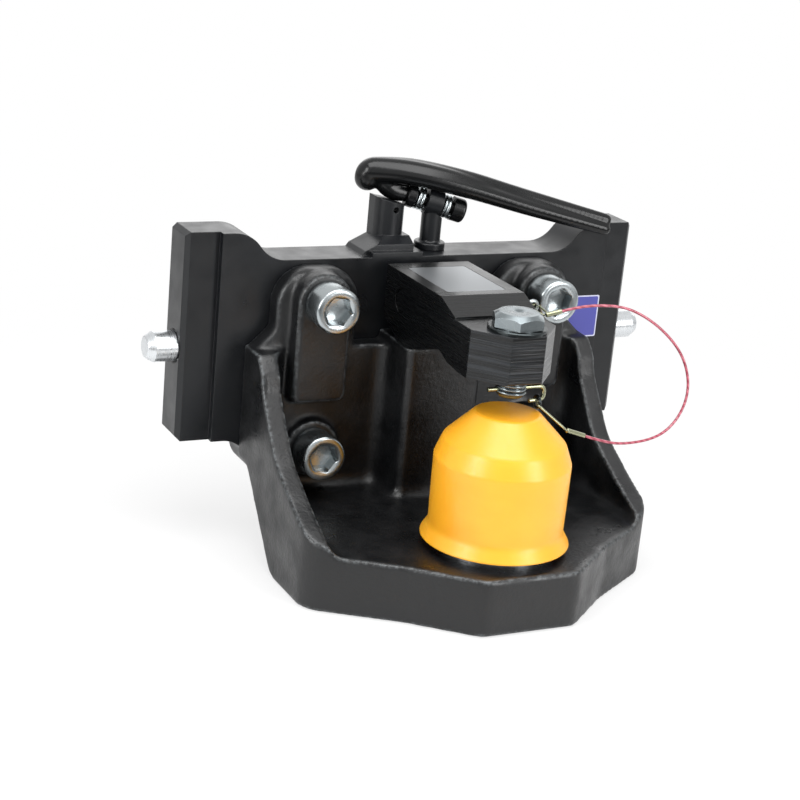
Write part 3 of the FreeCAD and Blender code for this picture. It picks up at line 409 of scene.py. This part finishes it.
# Anodised aluminium plate on the arm: pale, flat, fine straight brushing
def makePlateMetal():
    spec = {"color": "9a9da0", "brushMm": 0.4, "brushLongMm": 25.0, "brushDeepMm": 0.02}
    mat, tree, surface, place = startMaterial(
        "anodisedPlate", {"Metallic": 1.0, "Base Color": hexColor(spec["color"]), "Roughness": 0.42})
    wide = 1000 / spec["brushLongMm"]
    stretch = addNode(tree, "ShaderNodeMapping", values={"Scale": (1000 / spec["brushMm"], wide, wide)},
                      links={"Vector": place})
    brush = addNode(tree, "ShaderNodeTexNoise", values={"Scale": 1.0, "Detail": 2.0},
                    links={"Vector": stretch.outputs[0]})
    bump = addNode(tree, "ShaderNodeBump",
                   values={"Strength": 0.2, "Distance": spec["brushDeepMm"] * mm},
                   links={"Height": brush.outputs["Fac"]})
    tree.links.new(bump.outputs[0], surface.inputs["Normal"])
    return mat


# Vinyl film of the bare label and its border: flat colour, semi gloss
def makeLabelFilm(name, color):
    spec = {"grainMm": 0.556, "grainDeepMm": 0.02}
    mat, tree, surface, place = startMaterial(name, {"Base Color": hexColor(color), "Roughness": 0.3})
    grain = addNode(tree, "ShaderNodeTexNoise",
                    values={"Scale": 1000 / spec["grainMm"] / 2, "Detail": 2.0}, links={"Vector": place})
    bump = addNode(tree, "ShaderNodeBump",
                   values={"Strength": 0.1, "Distance": spec["grainDeepMm"] * mm},
                   links={"Height": grain.outputs["Fac"]})
    tree.links.new(bump.outputs[0], surface.inputs["Normal"])
    return mat


# Clear red PVC sleeve over a wire rope: rosy red, its strands drawn coarser than real so they show
def makeRedSleeve():
    spec = {"deep": "8f2e42", "rosy": "b85c6c", "strandMm": 5.54, "strandDeepMm": 0.1}
    mat, tree, surface, place = startMaterial("redSleeve", {
        "Roughness": 0.25, "Coat Weight": 0.4, "Coat Roughness": 0.1})
    strand = addNode(tree, "ShaderNodeTexWave", {"wave_type": "BANDS", "bands_direction": "DIAGONAL"},
                     {"Scale": 628.2 / spec["strandMm"], "Distortion": 1.0},  # a band is 0.628 / scale
                     {"Vector": place})
    tone = addNode(tree, "ShaderNodeMix", {"data_type": "RGBA"},
                   {6: hexColor(spec["deep"]), 7: hexColor(spec["rosy"])}, {0: strand.outputs["Fac"]})
    tree.links.new(tone.outputs[2], surface.inputs["Base Color"])
    bump = addNode(tree, "ShaderNodeBump",
                   values={"Strength": 0.2, "Distance": spec["strandDeepMm"] * mm},
                   links={"Height": strand.outputs["Fac"]})
    tree.links.new(bump.outputs[0], surface.inputs["Normal"])
    return mat


castEnamel = makeCastEnamel()
platePaint = makePlatePaint()
milledBlack = makeMilledBlack()
brightZinc = makeZinc("brightZinc", "b9bfc0", "969da1")
greyZinc = makeZinc("greyZinc", "8f9698", "737b7f")
wireZinc = makeZinc("wireZinc", "b4b698", "85876c")
darkSteel = makeZinc("darkSteel", "4a4f50", "2c3031")
pinSteel = makeTurnedSteel("pinSteel", "dfe1e3", "c6cacd", 0)
ballSteel = makeTurnedSteel("ballSteel", "a9adb0", "7f8386", 2)
dipCoat = makeDipCoat()
yellowCap = makeYellowCap()
redSleeve = makeRedSleeve()
plateMetal = makePlateMetal()
labelBlue = makeLabelFilm("labelBlue", "4a4c9e")
labelEdge = makeLabelFilm("labelEdge", "c9cbe0")

finishOf = {  # every other node is bright zinc
    "slider_plate": platePaint, "gear_cover": platePaint, "lever_shaft": platePaint,
    "hitch_bracket": castEnamel, "hold_down_arm": milledBlack, "arm_pivot_pin": milledBlack,
    "lever_handle": dipCoat, "leg_sleeve": dipCoat, "leg_cap": dipCoat,
    "ball_cap": yellowCap, "tow_ball": ballSteel, "lanyard_cord": redSleeve,
    "locking_pin_left": pinSteel, "locking_pin_right": pinSteel,
    "rack_left": pinSteel, "rack_right": pinSteel,
    "pinion_left": pinSteel, "pinion_right": pinSteel,
    "lanyard_loops": wireZinc, "lanyard_ferrules": wireZinc, "safety_clip": wireZinc,
    "hold_bolt_washer": darkSteel, "clip_ring": darkSteel,
}
for name, node in nodes.items():
    node.data.materials.clear()
    node.data.materials.append(finishOf.get(name, brightZinc))

print("stage: shared ways of making pieces")


def addPiece(name, mesh, mat, body):
    piece = linkObject(name, mesh)
    if mat:
        mesh.materials.clear()
        mesh.materials.append(mat)
    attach(piece, body)
    return piece


def bakedMesh(holder, name):  # what the modifiers make, as a plain mesh
    bpy.context.view_layer.update()
    graph = bpy.context.evaluated_depsgraph_get()
    result = bpy.data.meshes.new_from_object(holder.evaluated_get(graph))
    result.name = name
    bpy.data.objects.remove(holder)
    return result


def meshFrom(shape, name):  # closes a bmesh into a mesh of its own
    mesh = bpy.data.meshes.new(name)
    shape.to_mesh(mesh)
    shape.free()
    return mesh


def joinedMesh(name, parts):
    whole = bmesh.new()
    for part in parts:
        whole.from_mesh(part)
    return meshFrom(whole, name)


def mergedCopy(nodeName):  # a CAD node's loose triangles, joined at their corners
    shape = bmesh.new()
    shape.from_mesh(nodes[nodeName].data)
    bmesh.ops.remove_doubles(shape, verts=shape.verts, dist=0.004 * mm)
    return linkObject(nodeName + "Copy", meshFrom(shape, nodeName + "Copy"))


def softened(holder, name, spec):  # one even skin over whatever the holder's mesh is made of
    grid = holder.modifiers.new("grid", "REMESH")
    grid.mode = "VOXEL"
    grid.voxel_size = spec["voxelMm"] * mm
    grid.use_smooth_shade = True
    soften = holder.modifiers.new("soften", "SMOOTH")
    soften.factor = 0.5
    soften.iterations = spec["passes"]
    return bakedMesh(holder, name)


# Rings of equally many points, joined one to the next; ends that meet in a point close there
def ringedMesh(name, rings, sharpDeg=None, turnDeg=0.0):
    shape = bmesh.new()
    rows = [[shape.verts.new(spot) for spot in ring] for ring in rings]
    for low, high in zip(rows, rows[1:]):
        for i in range(len(low)):
            j = (i + 1) % len(low)
            shape.faces.new((low[i], low[j], high[j], high[i]))
    if sharpDeg:
        shape.faces.new(rows[0])
    bmesh.ops.remove_doubles(shape, verts=shape.verts, dist=mm * mm)
    bmesh.ops.recalc_face_normals(shape, faces=shape.faces)
    if turnDeg:
        shape.transform(Matrix.Rotation(math.radians(turnDeg), 4, "Z"))
    if sharpDeg:
        for edge in shape.edges:
            if len(edge.link_faces) == 2 and edge.calc_face_angle(0) > math.radians(sharpDeg):
                edge.smooth = False
    for face in shape.faces:
        face.smooth = True
    return meshFrom(shape, name)


def circleAngles(steps):
    return [2 * math.pi * i / steps for i in range(steps)]


def hexRadius(radius, share, angle):  # share 0 is round, share 1 a full hexagon
    flat = math.cos(math.pi / 6) / math.cos(math.pi / 6 - angle % (math.pi / 3))
    return radius * (1 - share + share * flat)


def latheMesh(name, profile, steps):  # profile of (radius, height) in metres, turned round Z
    angles = circleAngles(steps)
    return ringedMesh(name, [[(r * math.cos(a), r * math.sin(a), h) for a in angles] for r, h in profile])


def roundedProfile(points, steps=6):  # (radius, height, corner radius) in mm to metres with arcs
    out = []
    for i, point in enumerate(points):
        here = Vector(point[:2])
        bend = point[2] if len(point) > 2 else 0
        if bend == 0 or i in (0, len(points) - 1):
            out.append(here * mm)
            continue
        a = (Vector(points[i - 1][:2]) - here).normalized()
        b = (Vector(points[i + 1][:2]) - here).normalized()
        half = a.angle(b) / 2
        middle = here + (a + b).normalized() * (bend / math.sin(half))
        first = here + a * (bend / math.tan(half)) - middle
        last = here + b * (bend / math.tan(half)) - middle
        whole = first.angle(last)
        for k in range(steps + 1):
            t = k / steps
            mix = first * math.sin((1 - t) * whole) + last * math.sin(t * whole)
            out.append((middle + mix / math.sin(whole)) * mm)
    return [tuple(p) for p in out]


def startGrowth(name, inputs):
    tree = bpy.data.node_groups.new(name, "GeometryNodeTree")
    tree.interface.new_socket("Geometry", in_out="INPUT", socket_type="NodeSocketGeometry")
    tree.interface.new_socket("Geometry", in_out="OUTPUT", socket_type="NodeSocketGeometry")
    for label, kind in inputs:
        tree.interface.new_socket(label, in_out="INPUT", socket_type="NodeSocket" + kind)
    return tree, addNode(tree, "NodeGroupInput")


def endGrowth(tree, made, mat):
    real = addNode(tree, "GeometryNodeRealizeInstances", links={"Geometry": made})
    painted = addNode(tree, "GeometryNodeSetMaterial", values={"Material": mat},
                      links={"Geometry": real.outputs[0]})
    addNode(tree, "NodeGroupOutput", links={0: painted.outputs[0]})


def grownMesh(name, tree, values, points=((0, 0, 0),)):
    base = bpy.data.meshes.new(name + "Base")
    base.from_pydata(list(points), [], [])
    holder = linkObject(name + "Holder", base)
    growth = holder.modifiers.new("growth", "NODES")
    growth.node_group = tree
    for item in tree.interface.items_tree:
        if item.in_out == "INPUT" and item.name in values:
            growth[item.identifier] = values[item.name]
    return bakedMesh(holder, name)


print("stage: bracket casting and handle")
castSet = {"voxelMm": 1.7, "passes": 5}
castMesh = softened(mergedCopy("hitch_bracket"), "castBracket", castSet)
castBracket = addPiece("castBracket", castMesh, castEnamel, "base")
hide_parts("hitch_bracket")

# Dip-coated handle: two lengths of rod side by side, drowned in one thick skin towards the left bend.
# Points are (along the leg, square to it, towards the front, radius) in mm, from the eye's middle.
handleSet = {
    "eye": (14.5, 152.0, 138.0), "turnDeg": 14.5, "tiltDeg": 14.6, "voxelMm": 0.8, "passes": 24,
    "rear": [(120, 24.0, -1, 4.3), (82, 22.8, -1.5, 5.0), (50, 21.6, -2, 5.6), (24, 21.4, -2, 6.3),
             (0, 19.2, -2.5, 7.0), (-20, 16.9, -2.5, 7.4), (-34, 13.2, -1.5, 7.8), (-43, 10.2, 0, 8.3),
             (-49.8, 7.6, 1, 9.0), (-48.5, 2.4, 0.6, 8.6)],
    "front": [(120.6, 18.1, 2, 4.3), (85, 16.9, 3, 5.0), (60, 16.2, 4, 5.5), (30, 16.4, 5, 6.0),
              (5, 15.7, 6, 6.4), (-10, 14.9, 6, 6.6), (-25, 13.2, 5.5, 6.9), (-36, 11.2, 4, 7.4),
              (-48, 7.8, 2, 8.2)],
    "skin": [(34, 18.9, 1.2, 5.4), (16, 18.5, 2.0, 7.2), (0, 17.2, 2.4, 7.9), (-20, 15.2, 2.2, 8.5),
             (-34, 12.3, 1.8, 8.7), (-46, 8.6, 1.2, 8.9)],
    "leg": [(19.8, 0, 0, 4.7), (4, 0, 0, 4.7), (-12, 0, 0, 4.7), (-18, 0, 0, 4.9), (-25, -0.8, 0, 6.2),
            (-32, -0.6, 0.5, 6.5), (-38, 3, 1, 6.4), (-42, 7, 1, 6.8)],
}
turned = math.radians(handleSet["turnDeg"])
tilted = math.radians(handleSet["tiltDeg"])
ahead = Vector((math.cos(turned), -math.sin(turned), 0))
legDirection = ahead * math.cos(tilted) - Vector((0, 0, math.sin(tilted)))
legSquare = ahead * math.sin(tilted) + Vector((0, 0, math.cos(tilted)))
legSide = legDirection.cross(legSquare)
legEye = Vector(handleSet["eye"])


def onLeg(along, up=0.0, out=0.0):
    return (legEye + legDirection * along + legSquare * up + legSide * out) * mm


def smoothLine(name, spots, order, radii=None):  # a NURBS line through free space, with its ends closed
    line = bpy.data.curves.new(name, "CURVE")
    line.dimensions = "3D"
    line.use_fill_caps = True
    spline = line.splines.new("NURBS")
    spline.points.add(len(spots) - 1)
    for i, spot in enumerate(spots):
        spline.points[i].co = (*spot, 1.0)
        spline.points[i].radius = radii[i] if radii else 1.0
    spline.order_u = order
    spline.use_endpoint_u = True
    return line


def dippedRods(spec):
    whole = bmesh.new()
    for key in ("rear", "front", "skin", "leg"):
        line = smoothLine(key, [onLeg(*spot[:3]) for spot in spec[key]], 4, [spot[3] for spot in spec[key]])
        line.bevel_depth = mm
        line.bevel_resolution = 8
        line.resolution_u = 12
        whole.from_mesh(bakedMesh(linkObject(key, line), key))
        for spot in (spec[key][0], spec[key][-1]):
            if key != "leg" or spot is spec[key][-1]:  # the leg's open end lies in its cap
                bmesh.ops.create_icosphere(whole, subdivisions=4, radius=spot[3] * mm,
                                           matrix=Matrix.Translation(onLeg(*spot[:3])))
    return meshFrom(whole, "dippedHandle")


handleHolder = linkObject("handleModel", dippedRods(handleSet))
handleMesh = softened(handleHolder, "dippedHandle", handleSet)
dippedHandle = addPiece("dippedHandle", handleMesh, dipCoat, "shaft")
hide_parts("lever_handle")

print("stage: yellow ball cap")
capSet = {
    "outer": [(0, 42.5), (19.6, 42.7, 2.4), (21.2, 42.0, 1.0), (38.6, 24.4, 7.0), (43.1, 12.6, 7.0),
              (42.95, -6), (42.6, -32.0, 9.0), (46.9, -39.2, 0.8), (47.1, -40.3, 0.4)],
    "inner": [(45.5, -40.3, 0.4), (44.9, -39.2, 0.8), (40.6, -31.7, 8.0), (40.8, -6),
              (41.0, 12.2, 6.0), (36.9, 22.4, 6.0), (19.6, 40.0, 1.4), (0, 40.0)],
    "steps": 144, "cornerSteps": 7,
}
capProfile = roundedProfile(capSet["outer"] + capSet["inner"], capSet["cornerSteps"])
capMesh = latheMesh("yellowBallCap", capProfile, capSet["steps"])
capPiece = addPiece("yellowBallCap", capMesh, yellowCap, "cap")
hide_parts("ball_cap")

print("stage: cap screws")
screwSet = {
    "headD": 30.0, "headH": 20.0, "socketAf": 17.0, "socketDeep": 10.0, "drillDeep": 13.0,
    "foot": [(0.5, 0.0), (0.0, 0.5)],  # (in from the side, up from the seat)
    "crown": [(0.0, 1.6), (0.35, 0.8), (1.0, 0.25), (1.8, 0.0)],  # (in from the side, down from the top)
    "mouth": [(1.0, 0.0, 0), (0.25, 0.35, 0.3), (0.0, 1.1, 1)],  # (out from the hexagon, down, how hexagonal)
    "steps": 72, "sharpDeg": 38,
    "seats": [(80, 103.5, 85), (-80, 103.5, 85), (80, 108.2, -15), (-80, 108.2, -15)],
}


def socketHead(spec):  # head lies along -Y with its seat at the origin
    r = spec["headD"] / 2
    h = spec["headH"]
    hexR = spec["socketAf"] / math.sqrt(3)
    rows = [(r - inward, up, 0) for inward, up in spec["foot"]]
    rows += [(r - inward, h - down, 0) for inward, down in spec["crown"]]
    rows += [(hexR + out, h - down, share) for out, down, share in spec["mouth"]]
    rows += [(hexR, h - spec["socketDeep"], 1), (hexR * 0.8, h - spec["socketDeep"], 0.5),
             (0.0, h - spec["drillDeep"], 0)]
    rings = []
    for radius, height, share in rows:
        ring = []
        for a in circleAngles(spec["steps"]):
            rr = hexRadius(radius, share, a) * mm
            ring.append((rr * math.cos(a), -height * mm, rr * math.sin(a)))
        rings.append(ring)
    return ringedMesh("socketHead", rings, spec["sharpDeg"])


headHolder = linkObject("socketHeadModel", socketHead(screwSet))
tree, group = startGrowth("screwHeads", [("Head", "Object"), ("Turn", "Float")])
source = addNode(tree, "GeometryNodeObjectInfo", links={"Object": group.outputs["Head"]})
turns = addNode(tree, "FunctionNodeRandomValue", {"data_type": "FLOAT"}, {"Seed": 4},
                {3: group.outputs["Turn"]})
spin = addNode(tree, "ShaderNodeCombineXYZ", links={"Y": turns.outputs[1]})
placed = addNode(tree, "GeometryNodeInstanceOnPoints",
                 links={"Points": group.outputs[0], "Instance": source.outputs["Geometry"],
                        "Rotation": spin.outputs[0]})
endGrowth(tree, placed.outputs[0], brightZinc)
seats = [tuple(c * mm for c in seat) for seat in screwSet["seats"]]
headMesh = grownMesh("capScrewHeads", tree, {"Head": headHolder, "Turn": 1.0}, seats)
bpy.data.objects.remove(headHolder)
capScrews = addPiece("capScrewHeads", headMesh, None, "base")
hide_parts("bracket_bolts")

print("stage: springs")
woundWire, group = startGrowth("woundWire", [("Radius", "Float"), ("Wire", "Float"), ("Turns", "Float"),
                                             ("Length", "Float")])
helix = addNode(woundWire, "GeometryNodeCurveSpiral", values={"Resolution": 40},
                links={"Rotations": group.outputs["Turns"], "Start Radius": group.outputs["Radius"],
                       "End Radius": group.outputs["Radius"], "Height": group.outputs["Length"]})
wire = addNode(woundWire, "GeometryNodeCurvePrimitiveCircle", values={"Resolution": 14},
               links={"Radius": group.outputs["Wire"]})
tube = addNode(woundWire, "GeometryNodeCurveToMesh", values={"Fill Caps": True},
               links={"Curve": helix.outputs[0], "Profile Curve": wire.outputs[0]})
smooth = addNode(woundWire, "GeometryNodeSetShadeSmooth", links={"Geometry": tube.outputs[0]})
endGrowth(woundWire, smooth.outputs[0], brightZinc)

legSet = {"eyeHalf": 5.3, "springMm": 7.956, "coilR": 6.8, "wireR": 1.2, "turns": 2.2}
legSlope = Vector((0, 0, 1)).rotation_difference(legDirection).to_matrix().to_4x4()
coilMeshes = []
for start in (-legSet["eyeHalf"] - legSet["springMm"] + legSet["wireR"],
              legSet["eyeHalf"] + legSet["wireR"]):
    coil = grownMesh("legCoil", woundWire, {
        "Radius": legSet["coilR"] * mm, "Wire": legSet["wireR"] * mm, "Turns": legSet["turns"],
        "Length": (legSet["springMm"] - 2 * legSet["wireR"]) * mm})
    coil.transform(Matrix.Translation(onLeg(start)) @ legSlope)
    coilMeshes.append(coil)
legCoils = addPiece("legCoils", joinedMesh("legCoils", coilMeshes), brightZinc, "shaft")
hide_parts("leg_springs")

# The coil round the lever shaft, as a plain copy that rides with the shaft
returnMesh = bakedMesh(mergedCopy("return_spring"), "returnSpring")
returnSpring = addPiece("returnSpring", returnMesh, brightZinc, "shaft")
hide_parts("return_spring")
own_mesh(returnSpring)

print("stage: hold-down bolt")
boltSet = {
    "af": 30.0, "seat": 97.8, "headH": 9.2, "footShare": 0.97, "footH": 0.5, "sideDrop": 1.6,
    "topShare": 0.8, "chamferDeg": 32.0, "crown": [(0.3, 0.1), (-0.6, 0.0)],
    "dimple": [(3.6, 0.0), (2.8, 0.35), (1.2, 0.9), (0, 1.0)],  # (radius, down from the top)
    "steps": 96, "sharpDeg": 25, "turnDeg": 6.0,
    "tip": 53.5, "tipR": 7.4, "tipChamfer": 1.3, "threadTop": 66.0, "runOut": 0.8,
    "majorR": 9.95, "minorR": 8.65, "pitch": 2.5, "threadFrom": 2.2, "threadShort": 3.5, "stemSteps": 64,
}


def hexHeadMesh(spec):
    hexR = spec["af"] / math.sqrt(3)
    inR = spec["af"] / 2
    top = spec["headH"]
    topR = inR * spec["topShare"]
    footR = inR * spec["footShare"]
    sideTop = top - spec["sideDrop"]
    slope = math.tan(math.radians(spec["chamferDeg"]))
    rows = [(footR, 0.0, 0), (footR, spec["footH"], 0), (hexR, spec["footH"], 1), (hexR, sideTop, 1)]
    rows += [(topR + out, top - down, 0) for out, down in spec["crown"]]
    rows += [(radius, top - down, 0) for radius, down in spec["dimple"]]
    rings = []
    for radius, height, share in rows:
        ring = []
        for a in circleAngles(spec["steps"]):
            rr = hexRadius(radius, share, a)
            chamfered = share and height == sideTop  # the cone of the chamfer cuts the flats in arcs
            z = spec["seat"] + (top - (rr - topR) * slope if chamfered else height)
            ring.append((rr * math.cos(a) * mm, rr * math.sin(a) * mm, z * mm))
        rings.append(ring)
    return ringedMesh("hexHead", rings, spec["sharpDeg"], spec["turnDeg"])


screwThread, group = startGrowth("screwThread", [("Root", "Float"), ("Depth", "Float"), ("Pitch", "Float"),
                                                 ("Turns", "Float"), ("Start", "Float")])
rise = addNode(screwThread, "ShaderNodeMath", {"operation": "MULTIPLY"},
               links={0: group.outputs["Pitch"], 1: group.outputs["Turns"]})
helix = addNode(screwThread, "GeometryNodeCurveSpiral", values={"Resolution": 48},
                links={"Rotations": group.outputs["Turns"], "Start Radius": group.outputs["Root"],
                       "End Radius": group.outputs["Root"], "Height": rise.outputs[0]})
ridge = addNode(screwThread, "GeometryNodeCurvePrimitiveCircle", values={"Resolution": 4},
                links={"Radius": group.outputs["Depth"]})
tube = addNode(screwThread, "GeometryNodeCurveToMesh", values={"Fill Caps": True},
               links={"Curve": helix.outputs[0], "Profile Curve": ridge.outputs[0]})
lift = addNode(screwThread, "ShaderNodeCombineXYZ", links={"Z": group.outputs["Start"]})
moved = addNode(screwThread, "GeometryNodeTransform",
                links={"Geometry": tube.outputs[0], "Translation": lift.outputs[0]})
endGrowth(screwThread, moved.outputs[0], brightZinc)

s = boltSet
threadMesh = grownMesh("boltThread", screwThread, {
    "Root": s["minorR"] * mm, "Depth": (s["majorR"] - s["minorR"]) * mm, "Pitch": s["pitch"] * mm,
    "Turns": (s["threadTop"] - s["tip"] - s["threadShort"]) / s["pitch"],
    "Start": (s["tip"] + s["threadFrom"]) * mm})
stemProfile = [(0, s["tip"]), (s["tipR"], s["tip"]), (s["minorR"], s["tip"] + s["tipChamfer"]),
               (s["minorR"], s["threadTop"]), (s["majorR"], s["threadTop"] + s["runOut"]),
               (s["majorR"], s["seat"]), (0, s["seat"])]
stemMesh = latheMesh("stem", roundedProfile(stemProfile), s["stemSteps"])
boltMesh = joinedMesh("holdDownBolt", [hexHeadMesh(s), stemMesh, threadMesh])
holdBolt = addPiece("holdDownBolt", boltMesh, greyZinc, "arm")
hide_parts("hold_down_bolt")

print("stage: bare label and plate")


def roundedSlab(name, width, height, thick, corner):  # in the XY plane, standing on z = 0, in mm
    shape = bmesh.new()
    rim = []
    for cx, cy, start in ((1, 1, 0), (-1, 1, 90), (-1, -1, 180), (1, -1, 270)):
        for k in range(7):
            a = math.radians(start + 15 * k)
            rim.append((cx * (width / 2 - corner) + corner * math.cos(a),
                        cy * (height / 2 - corner) + corner * math.sin(a)))
    low = [shape.verts.new((x * mm, y * mm, 0)) for x, y in rim]
    high = [shape.verts.new((x * mm, y * mm, thick * mm)) for x, y in rim]
    shape.faces.new(high)
    shape.faces.new(list(reversed(low)))
    for i in range(len(rim)):
        j = (i + 1) % len(rim)
        shape.faces.new((low[i], low[j], high[j], high[i]))
    return meshFrom(shape, name)


labelSet = {"middle": (129.8, 131.5, 59.6), "size": (24.0, 30.0), "corner": 1.2,
            "layers": [("labelBorder", 0.0, 0.10, labelEdge), ("labelField", 0.9, 0.14, labelBlue)]}
facing = Matrix.Rotation(math.radians(90), 4, "X")
for name, shrink, thick, mat in labelSet["layers"]:
    width, height = [side - 2 * shrink for side in labelSet["size"]]
    mesh = roundedSlab(name, width, height, thick, labelSet["corner"])
    mesh.transform(Matrix.Translation(Vector(labelSet["middle"]) * mm) @ facing)
    addPiece(name, mesh, mat, "base")

plateSet = {"middle": (0.0, 83.0, 104.0), "size": (41.4, 57.4), "thick": 0.45, "corner": 1.8}
armPlateMesh = roundedSlab("armPlate", *plateSet["size"], plateSet["thick"], plateSet["corner"])
armPlateMesh.transform(Matrix.Translation(Vector(plateSet["middle"]) * mm))
addPiece("armPlate", armPlateMesh, plateMetal, "arm")

print("stage: lanyard")
# The route of the solid cord in metres, as control points of one smooth line
cordSet = {
    "diameter": 1.8 * mm,
    "route": [(0.054, -0.006, 0.025), (0.070, -0.0043, 0.0192), (0.0871, -0.002, 0.0156),
              (0.1102, 0.001, 0.0161), (0.1252, 0.004, 0.0215), (0.1358, 0.007, 0.0331),
              (0.1399, 0.010, 0.0468), (0.1371, 0.013, 0.0617), (0.1295, 0.016, 0.0743),
              (0.1154, 0.019, 0.0871), (0.1003, 0.022, 0.0958), (0.0883, 0.024, 0.0994),
              (0.074, 0.026, 0.1002), (0.0605, 0.028, 0.0992), (0.049, 0.030, 0.0962)],
}
cordCurve = smoothLine("redLanyard", cordSet["route"], 3)
cordCurve.bevel_depth = cordSet["diameter"] / 2
cordCurve.bevel_resolution = 5
cordCurve.resolution_u = 16
redLanyard = addPiece("redLanyard", cordCurve, redSleeve, "arm")
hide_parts("lanyard_cord")
